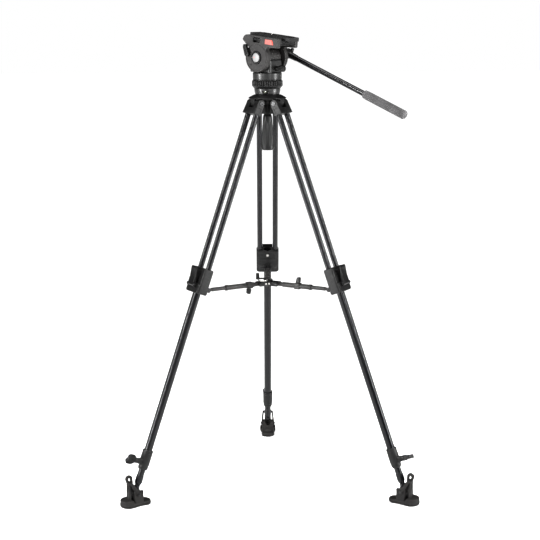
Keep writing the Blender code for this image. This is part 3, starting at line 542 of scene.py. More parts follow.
def mid_clamp(side):
    main = block((-0.015, -0.0368, CLAMP_END + 0.001), (0.017, 0.0368, CLAMP_TOP), 0.0042, 4)
    front = fillet([(-0.035, CLAMP_END), (0.035, CLAMP_END), (0.035, CLAMP_STEP + 0.004),
                    (-0.035, CLAMP_STEP + 0.004)], 0.008, 6)
    skirt = moved(slab(front, -0.0158, 0.0225, 0.002), SIDEWAYS)
    body = fused(main, skirt)
    seam_z = CLAMP_TOP - 0.0335
    seam = carved(block((-0.03, -0.05, seam_z - 0.0006), (0.03, 0.05, seam_z + 0.0006), 0.0),
                  block((-0.0143, -0.0361, seam_z - 0.002), (0.0163, 0.0361, seam_z + 0.002), 0.0))
    tools = [bar((0, 0, CLAMP_END - 0.01), (0, 0, CLAMP_TOP + 0.01), LOWER_R + 0.0002), seam]
    for way in (-1, 1):
        y = way * TUBE_SPACING / 2
        tools.append(bar((0, y, CLAMP_TOP - 0.035), (0, y, CLAMP_TOP + 0.01), TUBE_R + 0.0002))
    for x0, x1 in ((-0.03, -0.0138), (0.0158, 0.03)):
        tools.append(block((x0, -0.0235, CLAMP_TOP - 0.0275), (x1, 0.0235, CLAMP_TOP - 0.0085), 0.0015))
    for k in range(3):
        z = CLAMP_STEP - 0.0085 - 0.0075 * k
        tools.append(block((-0.03, -0.024, z - 0.0012), (-0.015, 0.024, z + 0.0012), 0.0004))
    piece("clamp_block_" + side, carved(body, *tools), "casting", "leg_" + side, LEG[side], ["mid_clamp_" + side])
    stud = cap_screw(0.0044, 0.0018, at(-0.0138, 0, CLAMP_TOP - 0.0165) @ FACE_LEFT)
    piece("clamp_stud_" + side, stud, "steel", "leg_" + side, LEG[side])
    screws = [cap_screw(0.0034, 0.0014, at(0.0158, y, CLAMP_TOP - 0.018) @ FACE_RIGHT) for y in (-0.016, 0.016)]
    screws += screw_pair(0.003, 0.0012, LEVER_X, 0.0215, LEVER_Z)
    piece("clamp_screws_" + side, joined(*screws), "black_steel", "leg_" + side, LEG[side])
    pin = LEG[side].inverted() @ place_of("spreader_arm_" + side)
    ears = []
    for way in (-1, 1):
        y0, y1 = between(way, 0.0053, 0.01)
        outline = arc((pin.x, pin.z), 0.0074, 60, 290) + [(-0.014, pin.z - 0.0085), (-0.014, pin.z + 0.0066)]
        ears.append(moved(slab(outline, -y1, -y0, 0.0007), UPRIGHT))
        y0, y1 = between(way, 0.0172, 0.0215)
        outline = [(0.016, CLAMP_STEP - 0.012), (0.0215, CLAMP_STEP - 0.012)]
        outline += arc((LEVER_X, LEVER_Z), 0.0058, -70, 80) + [(0.016, CLAMP_STEP + 0.004)]
        ears.append(moved(slab(outline, -y1, -y0, 0.0007), UPRIGHT))
    piece("clamp_ears_" + side, joined(*ears), "casting", "leg_" + side, LEG[side])
    pins = screw_pair(0.0036, 0.0016, pin.x, 0.01, pin.z)
    piece("arm_pins_" + side, joined(*pins), "black_steel", "leg_" + side, LEG[side])


def clamp_lever(side):
    tip = LEVER_LENGTH
    outline = arc((0, 0), 0.0052, 180, 360, 16)
    outline += fillet([(0.0052, 0.004), (0.005, 0.025), (0.0088, tip - 0.005), (0.0072, tip), (0.0046, tip),
                       (0.003, 0.041), (-0.0052, 0.025)], 0.003, 4, closed=False)
    body = moved(slab(outline, -0.0165, 0.0165, 0.0012), UPRIGHT)
    body = carved(body, block((-0.009, -0.0115, 0.024), (0.0028, 0.0115, tip - 0.006), 0.001))
    for k in range(6):
        z = 0.0265 + 0.0042 * k
        body = carved(body, block((0.008, -0.0125, z), (0.016, 0.0125, z + 0.0016), 0.0005))
    piece("clamp_lever_arm_" + side, body, "dark", "clamp_lever_" + side, LEG[side] @ at(LEVER_X, 0, LEVER_Z),
          ["clamp_lever_" + side])


def lower_collar(side):
    wide, socket_z = 0.0165, COLLAR_END + 0.003 - GAP
    profile = [(LOWER_R + GAP, COLLAR_TOP), (wide - 0.0015, COLLAR_TOP), (wide, COLLAR_TOP - 0.002),
               (wide, COLLAR_TOP - 0.0085), (wide - 0.0007, COLLAR_TOP - 0.0092),
               (wide - 0.0007, COLLAR_TOP - 0.0104), (wide, COLLAR_TOP - 0.011),
               (wide, COLLAR_END + 0.015), (wide - 0.001, COLLAR_END + 0.0135),
               (wide - 0.001, COLLAR_END + 0.006), (wide - 0.003, COLLAR_END), (FOOT_TUBE_R + GAP, COLLAR_END),
               (FOOT_TUBE_R + GAP, socket_z), (LOWER_R + GAP, socket_z)]
    body = revolved(profile, FINE, ring=True, round_off=0.0006)
    body = carved(body, bar((-0.0205, 0, KNOB_S), (-0.014, 0, KNOB_S), 0.0028))
    boss = revolved([(0.0, 0.015), (0.0074, 0.015), (0.008, 0.0136), (0.0098, 0.004), (0.012, 0.0), (0.0, 0.0)],
                    MEDIUM)
    boss = moved(boss, at(0.014, 0, KNOB_S) @ FACE_RIGHT)
    piece("stage_collar_" + side, joined(body, boss), "casting", "lower_leg_" + side, LEG[side],
          ["lower_collar_" + side])


def wing_knob(side, rest_turn):
    hub = moved(revolved([(0.0, 0.013), (0.008, 0.013), (0.0088, 0.011), (0.0088, 0.0), (0.0, 0.0)]),
                FACE_RIGHT)
    outline = fillet([(0.005, -0.011), (0.0135, -0.0178), (0.03, -0.0172), (0.0334, -0.0085), (0.03, 0.0),
                      (0.0334, 0.0085), (0.03, 0.0172), (0.0135, 0.0178), (0.005, 0.011)], 0.005, 5)
    wing = slab(outline, -0.0062, 0.0062, 0.002, 4)
    dents = [slab(arc((0.0215, way * 0.0092), 0.005, 0, 350, 35), z, z + 0.003, 0.0008) for way in (-1, 1)
             for z in (0.005, -0.008)]
    piece("wing_" + side, joined(carved(wing, *dents), hub), "casting", "wing_knob_" + side,
          LEG[side] @ at(0.0293, 0, KNOB_S) @ turn("X", rest_turn), ["wing_knob_" + side])


def foot(side):
    floor = -place_of("ankle_" + side).z
    pad_top, inner_top = floor + 0.0225, floor + 0.014
    lobe_at = (0.0262, 0)
    front, back = arc(lobe_at, 0.0285, -75, 75, 36), arc((-0.021, 0), 0.023, 100, 260, 28)
    waist = [(-0.013, 0.0208), (-0.005, 0.0212), (0.006, 0.0226), (0.018, 0.0258)]
    outline = front + waist[::-1] + back + [(x, -y) for x, y in waist]
    base = slab(outline, floor, inner_top, 0.0055, 5)
    lobe = slab(arc(lobe_at, 0.0276, -100, 100, 48), floor + 0.005, pad_top, 0.007, 6)
    cuts = [block((-0.05, y - 0.001, floor - 0.01), (0.06, y + 0.001, floor + 0.0018), 0.0) for y in
            [-0.021 + 0.006 * k for k in range(8)]]
    groove_z = floor + 0.0062
    cuts.append(carved(slab([(x * 1.2, y * 1.2) for x, y in outline], groove_z - 0.0007, groove_z + 0.0007, 0.0),
                       slab([(x * 0.97, y * 0.955) for x, y in outline], groove_z - 0.002, groove_z + 0.002, 0.0)))
    dish = revolved([(0.0, 0.01), (0.012, 0.01), (0.0085, -0.0055), (0.0, -0.0055)], round_off=0.003)
    cuts.append(moved(dish, at(0.0225, 0, pad_top + 0.001) @ turn("Y", 8.0)))
    body = "foot_" + side
    piece("sole_" + side, carved(fused(base, lobe), *cuts), "rubber", body, FOOT[side], [body])
    wall = fillet([(-0.0205, inner_top - 0.004), (0.0205, inner_top - 0.004), (0.0186, -0.024), (0.0196, -0.0085),
                   (-0.0196, -0.0085), (-0.0186, -0.024)], 0.003, 4)
    boot = moved(slab(wall, -0.014, 0.015, 0.0036, 5), SIDEWAYS)
    flare = revolved([(0.0, 0.0105), (0.015, 0.0105), (0.0205, 0.0), (0.0, 0.0)], FINE, round_off=0.004)
    seat = fillet([(-0.0128, 0.03), (-0.0112, -0.0125), (-0.004, -0.0235), (0.004, -0.0235), (0.0112, -0.0125),
                   (0.0128, 0.03)], 0.004, 6)
    boot = fused(boot, moved(flare, at(z=inner_top - 0.003)))
    piece("boot_" + side, carved(boot, moved(slab(seat, -0.03, 0.03, 0.0), SIDEWAYS)), "rubber", body, FOOT[side])
    pin, top, band_r = (0.002, -0.018), (0.024, 0.0165), 0.0048
    rise = math.degrees(math.atan2(top[1] - pin[1], top[0] - pin[0]))
    band = arc(pin, band_r + 0.0012, rise + 90, rise + 270) + arc(top, band_r, rise - 90, rise + 90)
    rib = arc(pin, 0.0016, rise + 90, rise + 270, 8) + arc(top, 0.0012, rise - 90, rise + 90, 8)
    shapes = []
    for way in (-1, 1):
        y0, y1 = between(-way, 0.0174, 0.0226)
        shapes.append(moved(slab(band, y0, y1, 0.0012, 4), UPRIGHT))
        y0, y1 = between(-way, 0.022, 0.0232)
        shapes.append(moved(slab(rib, y0, y1, 0.0005, 2), UPRIGHT))
    for vert in (vert for shape in shapes for vert in shape.verts):
        vert.co.y *= 1.0 - 0.18 * (vert.co.z - pin[1]) / (top[1] - pin[1])
    shapes.append(bar((top[0], -0.016, top[1]), (top[0], 0.016, top[1]), 0.0044, round_off=0.0015))
    loop_top = (0.0262, 0.0298)
    rim = arc(loop_top, 0.0115, -10, 160, 40) + fillet([(0.015, 0.025), (0.0138, 0.016), (0.0195, 0.011),
                                                        (0.0315, 0.015), (0.036, 0.024)], 0.003, 5, False)
    slot = arc(loop_top, 0.0044, 0, 180) + arc((0.0245, 0.0235), 0.0044, 180, 360)
    loop = carved(slab(rim, -0.005, 0.005, 0.0022, 5), slab(slot, -0.01, 0.01, 0.0))
    shapes.append(moved(loop, UPRIGHT))
    tongue = fillet([(0.024, pad_top - 0.004), (0.0312, pad_top - 0.004), (0.03, 0.002), (0.0304, 0.0195),
                     (0.025, 0.0195)], 0.002, 4)
    shapes.append(moved(slab(tongue, -0.0114, 0.0114, 0.0018, 4), UPRIGHT))
    shapes += [block((0.029, -0.0085, z), (0.0318, 0.0085, z + 0.0018), 0.0007) for z in
               [-0.008 + 0.0042 * k for k in range(5)]]
    piece("strap_" + side, joined(*shapes), "rubber", body, FOOT[side])
    pins = screw_pair(0.004, 0.0028, pin[0], 0.0226, pin[1])
    piece("strap_pins_" + side, joined(*pins), "black_steel", body, FOOT[side])


# ---- spreader
def spreader_arm(side):
    rod = moved(revolved([(0.0, 0.084), (0.006, 0.084), (0.006, 0.004), (0.0046, 0.0), (0.0046, -0.008),
                          (0.0, -0.008)]), at(-0.012) @ FACE_LEFT)
    eye = moved(slab(arc((0, 0), 0.0065, 0, 350, 35), -0.0049, 0.0049, 0.0008), UPRIGHT)
    piece("arm_inner_" + side, joined(rod, eye), "head", "arm_rod_" + side, ARM[side], ["arm_rod_" + side])
    length, thick, bore = SLEEVE_END - SLEEVE_START, 0.0088, 0.0062
    profile = [(0.0, length), (thick - 0.001, length), (thick - 0.001, 0.0095), (thick, 0.0085), (thick, 0.001),
               (thick - 0.0012, 0.0), (0.0, 0.0)]
    solid = revolved(profile, round_off=0.0004)
    hollow = bar((0, 0, -0.01), (0, 0, length - 0.012), bore, round_off=0.0)
    sleeve = moved(carved(solid, hollow), at(-SLEEVE_START) @ FACE_LEFT)
    tip = [(-SLEEVE_END + 0.01, -0.005)] + arc((-ARM_LENGTH, 0), 0.0045, 270, 90, 20)
    tip += [(-SLEEVE_END + 0.01, 0.005)]
    finger = moved(slab(tip, -0.0084, 0.0084, 0.0012), UPRIGHT)
    lock_x = -0.112 if side == "right" else -0.149
    lock = block((lock_x - 0.01, -0.0091, -0.0096), (lock_x + 0.01, 0.0091, 0.0096), 0.0026, 4)
    body = "arm_sleeve_" + side
    piece("arm_outer_" + side, joined(sleeve, finger, lock), "head", body, ARM[side], [body])
    screws = screw_pair(0.0026, 0.0002, lock_x, 0.0091, 0)
    piece("arm_screws_" + side, joined(*screws), "black_steel", body, ARM[side])
    way = 1 if side == "right" else -1
    stands = ARM[side] @ at(lock_x, 0, way * 0.0146) @ turn("X", 0 if way < 0 else 180)
    outline = arc((0, 0), 0.0046, 60, 190, 12)
    outline += fillet([(-0.003, -0.006), (-0.001, -0.013), (0.008, -0.0125), (0.0082, -0.006)], 0.002, 4, False)
    outline += arc((0.0032, 0), 0.0046, -10, 60, 8)
    piece("arm_lock_lever_" + side, moved(slab(outline, -0.0062, 0.0062, 0.0012), UPRIGHT), "dark",
          "arm_lock_" + side, stands, ["arm_lock_" + side])


def spreader_hub():
    profile = [(0.0, 0.0085), (0.0125, 0.0085), (0.0145, 0.0068), (0.0145, -0.0068), (0.0125, -0.0085),
               (0.0, -0.0085)]
    shapes, screws = [revolved(profile, FINE, round_off=0.0006)], []
    for azimuth in SIDES.values():
        for way in (-1, 1):
            y0, y1 = between(way, 0.0095, 0.0135)
            outline = [(0.006, -0.0065), (HUB_PIN_R - 0.004, -0.0065)] + arc((HUB_PIN_R, 0), 0.0065, -90, 90)
            outline += [(0.006, 0.0065)]
            shapes.append(moved(slab(outline, -y1, -y0, 0.0007), turn("Z", azimuth) @ UPRIGHT))
            place = turn("Z", azimuth) @ at(HUB_PIN_R, way * 0.0135, 0) @ FACE_Y[way]
            screws.append(cap_screw(0.0034, 0.0014, place))
    screws.append(cap_screw(0.005, 0.0018, at(0, 0, 0.0085)))
    piece("hub_body", joined(*shapes), "casting", "spreader_hub", HUB, ["spreader_hub"])
    piece("hub_screws", joined(*screws), "black_steel", "spreader_hub", HUB)
    pins = [cap_screw(0.0031, 0.0016, at(x, y, 0.0005) @ FACE_Y[-1])
            for x, y in ((-0.007, -0.0196), (0.0025, -0.0172))]
    piece("hub_pins", joined(*pins), "steel", "spreader_hub", HUB)
    bracket = [block((-0.012, -0.0215, 0.004), (0.0, -0.006, 0.018)),
               block((-0.034, -0.0235, 0.016), (-0.006, -0.0175, 0.0205)),
               bar((-0.0335, -0.0205, 0.016), (-0.0335, -0.0205, 0.035), 0.0056, 0.005)]
    piece("ring_bracket", joined(*bracket), "casting", "spreader_hub", HUB)
    radius, wire, coils, steps = 0.0145, 0.001, 2.0, 96
    curve = bpy.data.curves.new("split_ring", "CURVE")
    curve.dimensions = "3D"
    curve.bevel_depth = wire
    curve.bevel_resolution = 4
    curve.use_fill_caps = True
    line = curve.splines.new("POLY")
    line.points.add(steps)
    for i, point in enumerate(line.points):
        angle = 2.0 * math.pi * coils * i / steps
        point.co = (radius * math.cos(angle), radius * math.sin(angle), 0.0021 * coils * i / steps, 1.0)
    guide = linked("guide", curve)
    bpy.context.view_layer.update()
    wound = bpy.data.meshes.new_from_object(guide.evaluated_get(bpy.context.evaluated_depsgraph_get()))
    shape = bmesh.new()
    shape.from_mesh(wound)
    bmesh.ops.remove_doubles(shape, verts=shape.verts, dist=0.00001)
    bpy.data.objects.remove(guide)
    piece("split_ring", shape, "steel", "spreader_hub", HUB @ at(-0.0175, -0.029, 0.014) @ turn("X", 8.0))


# ---- head: pan
def pan_unit():
    low = RING_TOP_Z + GAP
    table = [(0.0, TABLE_TOP_Z), (TABLE_R - 0.0025, TABLE_TOP_Z), (TABLE_R, TABLE_TOP_Z - 0.0022),
             (TABLE_R, low + 0.0052), (TABLE_R - 0.0008, low + 0.0046), (TABLE_R - 0.0008, low + 0.0036),
             (TABLE_R, low + 0.003), (TABLE_R, low + 0.001), (TABLE_R - 0.001, low), (0.0, low)]
    saddle = bar((-0.05, 0, TILT_Z), (0.05, 0, TILT_Z), 0.0305, steps=FINE)
    yoke = block((-0.029, -0.036, TABLE_TOP_Z - 0.004), (0.029, 0.036, 1.345), 0.006, 5)
    boss = bar((0, 0, PAN_LOCK_Z), (0, PAN_LOCK_Y + GAP, PAN_LOCK_Z), 0.0075)
    nose = block((-0.014, 0.03, TABLE_TOP_Z + 0.0008), (0.014, 0.058, TABLE_TOP_Z + 0.01), 0.0025)
    upper = carved(fused(yoke, boss, nose), saddle)
    piece("pan_body", joined(revolved(table, FINE), upper), "turned", "pan_unit", PAN, ["pan_housing"])
    drum = [(0.0, 0.044), (0.0075, 0.044), (0.0075, 0.0305), (0.029, 0.0305), (0.0302, 0.0293)]
    for k in range(5):
        x = 0.021 - 0.0105 * k
        drum += [(0.0302, x + 0.0012), (0.0294, x + 0.0006), (0.0294, x - 0.0006), (0.0302, x - 0.0012)]
    drum += [(0.0302, -0.0283), (0.029, -0.0295), (0.0075, -0.0295), (0.0075, -0.044), (0.0, -0.044)]

    def teeth(angle, height, radius):
        return 0.0014 * wave(angle, 48) ** 2 if height < -0.024 and radius > 0.0285 else 0.0

    piece("drum_shell", revolved(drum, 384, round_off=0.0004, flute=teeth), "head", "pan_unit",
          PAN @ at(0, 0, TILT_Z) @ FACE_RIGHT, ["tilt_drum"])
    count = 14

    def lobes(angle, height, radius):
        return 0.0011 * wave(angle, count) ** 2 if 0.003 < height < 0.019 and radius > 0.008 else 0.0

    knob = [(0.0, 0.0215), (0.0066, 0.0215), (0.0092, 0.0192), (0.0098, 0.018), (0.0098, 0.0045), (0.0082, 0.001),
            (0.0078, 0.0), (0.0, 0.0)]
    piece("pan_lock_grip", revolved(knob, count * 10, flute=lobes), "dark", "pan_lock_knob",
          PAN @ at(0, PAN_LOCK_Y, PAN_LOCK_Z) @ turn("X", 90.0), ["pan_lock_knob"])


# ---- head: tilting cradle
def side_outline():
    skirt = 0.0345
    nose = fillet([(0.037, DECK_TOP_Z), (0.051, 0.064), (0.0575, 0.0595), (0.0622, 0.05), (0.06, 0.0465),
                   (0.043, 0.033)], 0.0022, 4, closed=False)
    start = math.degrees(math.asin(0.028 / SIDE_R))
    under = arc((0, 0), SIDE_R, start, -218, 72)
    rear = fillet([(-0.0405, skirt), (DECK_REAR_Y, skirt + 0.002), (DECK_REAR_Y, DECK_TOP_Z - 0.002),
                   (DECK_REAR_Y + 0.002, DECK_TOP_Z)], 0.004, 4, closed=False)
    return nose + under + rear


def side_plates():
    for name, (x0, x1) in (("left", LEFT_X), ("right", RIGHT_X)):
        body = moved(slab(side_outline(), x0, x1, 0.0022, 4), SIDEWAYS)
        face, stand = (x0, FACE_LEFT) if name == "left" else (x1, FACE_RIGHT)
        groove = carved(bar((face - 0.0009, 0, 0), (face + 0.0009, 0, 0), 0.0412, steps=FINE, round_off=0.0),
                        bar((face - 0.003, 0, 0), (face + 0.003, 0, 0), 0.0396, steps=FINE, round_off=0.0))
        tools = [bar((-0.0445, 0, 0), (0.0445, 0, 0), 0.0078), groove,
                 block((face - 0.0008, DECK_REAR_Y + 0.006, 0.0608), (face + 0.0008, 0.03, 0.0618), 0.0)]
        if name == "left":
            tools.append(bar((x0 - 0.01, 0, 0), (x0 + 0.003, 0, 0), DIAL_R + 0.0006, steps=FINE, round_off=0.0))
            recess = fillet([(-0.0105, 0.045), (0.019, 0.045), (0.019, 0.06), (-0.0105, 0.06)], 0.004, 5)
            tools.append(moved(slab(recess, x0 - 0.01, x0 + 0.013, 0.0), SIDEWAYS))
        piece("cheek_" + name, carved(body, *tools), "head", "cradle", TILT, ["side_plate_" + name])
        spots = [(0.03 * math.cos(math.radians(a)), 0.03 * math.sin(math.radians(a))) for a in (-130, -50)]
        spots += [(-0.0725, 0.05)] if name == "left" else [(0.03, 0.048), (-0.064, 0.05), (0.0, 0.03)]
        screws = [cap_screw(0.003, 0.001, at(face, y, z) @ stand) for y, z in spots]
        piece("cheek_screws_" + name, joined(*screws), "black_steel", "cradle", TILT)
    cover = moved(revolved([(0.0, 0.0012), (0.0245, 0.0012), (0.0265, 0.0), (0.0, 0.0)], FINE),
                  at(RIGHT_X[1]) @ FACE_RIGHT)
    piece("drag_cover", cover, "dark", "cradle", TILT)


def label():
    """A blank coloured panel on the left cheek, with a deeper stripe at its slanted end."""
    x = LEFT_X[0]
    pale = fillet([(-0.03, 0.0445), (-0.06, 0.0445), (-0.054, 0.059), (-0.03, 0.059)], 0.001)
    deep = fillet([(-0.0595, 0.0445), (-0.064, 0.0445), (-0.058, 0.059), (-0.0535, 0.059)], 0.0006)
    for name, outline, look in (("label_panel", pale, "accent_pale"), ("label_stripe", deep, "accent")):
        piece(name, moved(slab(outline, x - 0.0005, x + 0.0008, 0.0002), SIDEWAYS), look, "cradle", TILT)


def platform():
    x0, x1 = LEFT_X[1] + GAP, RIGHT_X[0] - GAP
    deck = block((x0, DECK_REAR_Y + 0.001, DECK_Z), (x1, DECK_FRONT_Y, DECK_TOP_Z - 0.0005), 0.0018)
    tools = [block((-PLATE_X - 0.0006, -0.12, PLATE_Z - GAP), (PLATE_X + 0.0006, 0.12, 0.1), 0.0),
             block((-0.012, -0.12, PLATE_Z - 0.004), (0.012, 0.12, 0.1), 0.0)]
    for y, outward in ((DECK_FRONT_Y, 1), (DECK_REAR_Y + 0.001, -1)):
        y0, y1 = sorted((y - outward * 0.0012, y + outward * 0.01))
        tools.append(block((x0 + 0.008, y0, DECK_Z + 0.0035), (x1 - 0.008, y1, DECK_Z + 0.009), 0.0012))
    piece("deck", carved(deck, *tools), "dark", "cradle", TILT, ["platform"])


def tilt_controls():
    dial_place = TILT @ at(LEFT_X[0]) @ FACE_LEFT
    rim = [(0.0, 0.0016), (0.0148, 0.0016), (0.015, 0.0034), (DIAL_R - 0.001, 0.0034), (DIAL_R, 0.0022),
           (DIAL_R, -0.0026), (0.0, -0.0026)]

    def knurl(angle, height, radius):
        return 0.0005 * wave(angle, 60) if radius > DIAL_R - 0.0004 else 0.0

    piece("dial_rim", revolved(rim, 360, flute=knurl, round_off=0.0003), "dark", "tilt_dial",
          dial_place, ["tilt_dial"])
    face = [(0.0, 0.003), (0.0128, 0.003), (0.0136, 0.0024), (0.0136, 0.0016), (0.0, 0.0016)]
    piece("dial_face", revolved(face, FINE), "dial", "tilt_dial", dial_place)
    ticks = []
    for k in range(11):
        tick = block((-0.0003, 0.0092, 0.0029), (0.0003, 0.0118 if k % 5 else 0.0108, 0.0031), 0.00003)
        ticks.append(moved(tick, turn("Z", -75.0 + 15.0 * k)))
    piece("dial_marks", joined(*ticks), "dark", "tilt_dial", dial_place)
    index = slab([(-0.0016, 0.0052), (0.0016, 0.0052), (0.0, 0.0088)], 0.0028, 0.0033, 0.0001)
    piece("dial_index", index, "accent", "tilt_dial", dial_place)
    lever = at(LEFT_X[0] - GAP, 0.033, 0.008)
    outline = arc((0, 0), 0.0085, 150, 330, 24)
    outline += fillet([(0.0165, 0.018), (0.016, 0.0265), (0.0105, 0.0285), (0.0045, 0.024)], 0.003, 4, False)
    body = moved(slab(outline, -0.0104, 0.0, 0.0022, 4), SIDEWAYS)
    piece("lock_lever", body, "dark", "tilt_lock_lever", TILT @ lever, ["tilt_lock_lever"])
    screw = cap_screw(0.0034, 0.001, at(-0.0104) @ FACE_LEFT)
    piece("lock_lever_screw", screw, "black_steel", "tilt_lock_lever", TILT @ lever)
    button = block((0.0005, -0.0125, -0.0035), (0.005, 0.013, 0.004), 0.0012)
    grooves = [block((-0.002, y - 0.0005, -0.01), (0.0011, y + 0.0005, 0.01), 0.0) for y in
               [-0.009 + 0.003 * k for k in range(7)]]
    piece("latch_button", carved(button, *grooves), "dark", "plate_latch", TILT @ at(LEFT_X[0], 0.0045, 0.0545),
          ["plate_latch"])


def camera_plate():
    top = PLATE_TOP_Z
    body = block((-PLATE_X, PLATE_REAR_Y, PLATE_Z), (PLATE_X, PLATE_FRONT_Y, top - 0.0008), 0.0012)
    tools = [slab(oblong(0.0036, -0.03, 0.03, 0.0034, 6), 0.05, 0.1, 0.0),
             slab(oblong(0.0085, -0.036, 0.036, 0.008, 8), 0.05, top - 0.0045, 0.0)]
    for y0, y1 in ((PLATE_REAR_Y + 0.008, PLATE_REAR_Y + 0.014), (PLATE_FRONT_Y - 0.014, PLATE_FRONT_Y - 0.008)):
        tools.append(slab(oblong(0.015, y0, y1, 0.0028, 5), 0.05, 0.1, 0.0))
    piece("plate_body", carved(body, *tools), "casting", "camera_plate", TILT, ["camera_plate"])
    pads = []
    for way in (-1, 1):
        x0, x1 = between(way, 0.0105, 0.0215)
        pad = block((x0, PLATE_REAR_Y + 0.017, top - 0.0012), (x1, PLATE_FRONT_Y - 0.017, top), 0.0003)
        ribs = [block((x0 - 0.001, y - 0.0005, top - 0.0004), (x1 + 0.001, y + 0.0005, top + 0.001), 0.0)
                for y in [PLATE_REAR_Y + 0.02 + 0.004 * k for k in range(30)]]
        pads.append(carved(pad, *ribs))
    piece("plate_pads", joined(*pads), "rubber", "camera_plate", TILT)
    head_z = top - 0.0048
    thread = [(0.0, top + 0.0012), (0.0024, top + 0.0012), (0.0031, top + 0.0005)]
    thread += [(0.0031 if k % 2 else 0.0025, top - 0.0002 - 0.0006 * k) for k in range(7)]
    thread += [(0.0031, head_z), (0.0078, head_z), (0.008, head_z - 0.0008), (0.008, PLATE_Z + 0.0012),
               (0.0076, PLATE_Z + 0.0008), (0.0, PLATE_Z + 0.0008)]
    piece("screw_body", revolved(thread, round_off=0.0002), "steel", "camera_screw",
          TILT @ at(0, -0.012, 0), ["camera_screw"])


# ---- head: pan bar
def pan_bar():
    count = 36

    def teeth(angle, height, radius):
        return 0.0006 * wave(angle, count) if radius > 0.0155 else 0.0

    length = 0.0608 - RIGHT_X[1] - GAP
    mount = [(0.0, length), (0.0153, length), (0.0165, length - 0.0012), (0.0165, 0.003), (0.015, 0.001),
             (0.015, 0.0), (0.0, 0.0)]
    piece("rosette", revolved(mount, count * 6, flute=teeth, round_off=0.0004), "dark", "cradle",
          TILT @ at(RIGHT_X[1] + GAP, BAR_Y, BAR_Z) @ FACE_RIGHT, ["bar_mount"])
    half = 0.008
    eye = [(0.0, 2 * half), (0.014, 2 * half), (0.016, 2 * half - 0.0016), (0.016, 0.001), (0.015, 0.0),
           (0.0, 0.0)]
    eye = moved(revolved(eye, FINE, round_off=0.0005), at(-half) @ FACE_RIGHT)
    shank = bar((0, -0.006, 0), (0, -BAR_LENGTH + 0.004, 0), BAR_R)
    piece("bar_tube", shank, "tube", "pan_bar", BAR, ["pan_bar"])
    root = bar((0, -0.008, 0), (0, -0.04, 0), 0.0106, 0.0092)
    piece("bar_eye", joined(eye, root), "dark", "pan_bar", BAR)

    def ribs(angle, height, radius):
        if radius < GRIP_R - 0.0016 or not 0.012 < height < GRIP_LENGTH - 0.01:
            return 0.0
        return 0.0006 * wave(angle, 12) ** 2

    profile = [(0.0, 0.0037), (BAR_R + GAP, 0.0037), (BAR_R + GAP, GRIP_LENGTH), (GRIP_R - 0.003, GRIP_LENGTH),
               (GRIP_R - 0.0008, GRIP_LENGTH - 0.003), (GRIP_R - 0.0008, GRIP_LENGTH - 0.01)]
    profile += [(GRIP_R, GRIP_LENGTH - 0.011), (GRIP_R, GRIP_LENGTH - 0.08), (GRIP_R, 0.013),
                (GRIP_R - 0.001, 0.012), (GRIP_R - 0.001, 0.0105), (GRIP_R, 0.0095), (GRIP_R, 0.0045),
                (GRIP_R - 0.0018, 0.001), (GRIP_R - 0.005, 0.0), (0.0, 0.0)]
    piece("grip_sleeve", revolved(profile, 144, flute=ribs), "foam", "pan_bar",
          BAR @ at(0, -BAR_LENGTH, 0) @ turn("X", -90.0), ["bar_grip"])
    hub = moved(revolved([(0.0, 0.0105), (0.0076, 0.0105), (0.0092, 0.0085), (0.0095, 0.0), (0.0, 0.0)]),
                FACE_RIGHT)
    wing = block((0.0055, -0.0045, -0.017), (0.015, 0.0045, 0.017), 0.003, 4)
    piece("bar_clamp_grip", joined(hub, wing), "dark", "bar_clamp_knob", BAR @ at(half + GAP), ["bar_clamp_knob"])


bowl()
levelling()
head_base()
bubble_level()
pan_unit()
side_plates()
label()
platform()
tilt_controls()
camera_plate()
pan_bar()
spreader_hub()
for side, rest_turn in (("left", 54.0), ("right", -12.0), ("rear", 35.0)):
    leg_top(side)
    leg_tubes(side)
    mid_clamp(side)
    clamp_lever(side)
    lower_collar(side)
    wing_knob(side, rest_turn)
    foot(side)
    spreader_arm(side)


# ---- floor, light and camera
FLOOR_HALF, AIM_Z = 30.0, 0.8
WHITE, AMBIENT, GAMMA = (1.0, 1.0, 1.0, 1.0), 0.06, 0.8
SKY_STRENGTH, SKY_ANGLE = 3.9, 50
LAMPS = (  # name, place, width and height, watts
    ("strip_left", (-2.3, -1.3, 1.3), (0.16, 2.6), 130.0),
    ("strip_right", (2.3, -1.0, 1.3), (0.16, 2.6), 130.0),
    ("front", (1.5, -3.8, 2.0), (0.6, 1.6), 45.0),
    ("front_left", (-1.9, -3.4, 1.4), (0.3, 2.4), 22.0),
)
LENS, EYE = 90.16, Vector((-0.036, -4.193, 1.484))  # from the tripod's axis
YAW, PITCH, ROLL = 0.569, 10.76, 0.26


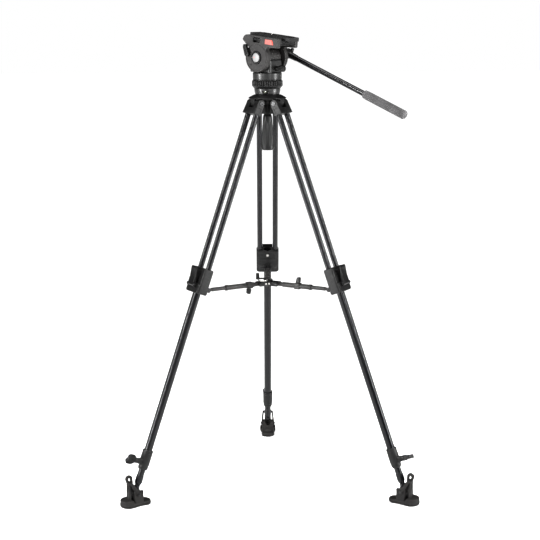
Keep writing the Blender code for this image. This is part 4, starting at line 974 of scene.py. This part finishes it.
def studio():
    shape = bmesh.new()
    bmesh.ops.create_grid(shape, x_segments=1, y_segments=1, size=FLOOR_HALF)
    floor = linked("floor", mesh_of(shape, "floor"))
    pale = bpy.data.materials.new("floor_pale")
    pale.use_nodes = True
    shader = pale.node_tree.nodes["Principled BSDF"]
    shader.inputs["Base Color"].default_value = (0.9, 0.9, 0.9, 1.0)
    shader.inputs["Roughness"].default_value = 0.9
    floor.data.materials.append(pale)
    world = bpy.data.worlds.new("studio")
    world.use_nodes = True
    nodes, links = world.node_tree.nodes, world.node_tree.links
    seen, path, output = nodes["Background"], nodes.new("ShaderNodeLightPath"), nodes["World Output"]
    seen.inputs["Color"].default_value = WHITE
    ambient, blend = nodes.new("ShaderNodeBackground"), nodes.new("ShaderNodeMixShader")
    ambient.inputs["Color"].default_value = WHITE
    ambient.inputs["Strength"].default_value = AMBIENT
    links.new(path.outputs["Is Camera Ray"], blend.inputs["Fac"])
    links.new(ambient.outputs["Background"], blend.inputs[1])
    links.new(seen.outputs["Background"], blend.inputs[2])
    links.new(blend.outputs["Shader"], output.inputs["Surface"])
    bpy.context.scene.world = world
    bpy.context.scene.view_settings.view_transform = "Standard"
    bpy.context.scene.view_settings.gamma = GAMMA
    target = AXIS.translation + Vector((0.0, 0.0, AIM_Z))
    sky = bpy.data.lights.new("sky", "SUN")
    sky.energy = SKY_STRENGTH
    sky.angle = math.radians(SKY_ANGLE)
    linked("sky", sky).rotation_euler = (math.radians(8), math.radians(-6), 0.0)
    for name, spot, (width, height), energy in LAMPS:
        light = bpy.data.lights.new(name, "AREA")
        light.shape = "RECTANGLE"
        light.size = width
        light.size_y = height
        light.energy = energy
        lamp = linked(name, light)
        lamp.location = spot
        lamp.rotation_euler = (target - Vector(spot)).to_track_quat("-Z", "Y").to_euler()


def camera():
    """The photograph's viewpoint: 4.2 m away, a little above the head, looking 11 degrees down."""
    data = bpy.data.cameras.new("camera")
    data.lens = LENS
    data.sensor_width = 36.0
    made = linked("camera", data)
    spot = Matrix.Translation(AXIS.translation + EYE)
    made.matrix_world = spot @ turn("Z", -YAW) @ turn("X", 90.0 - PITCH) @ turn("Z", -ROLL)
    bpy.context.scene.camera = made


studio()
camera()
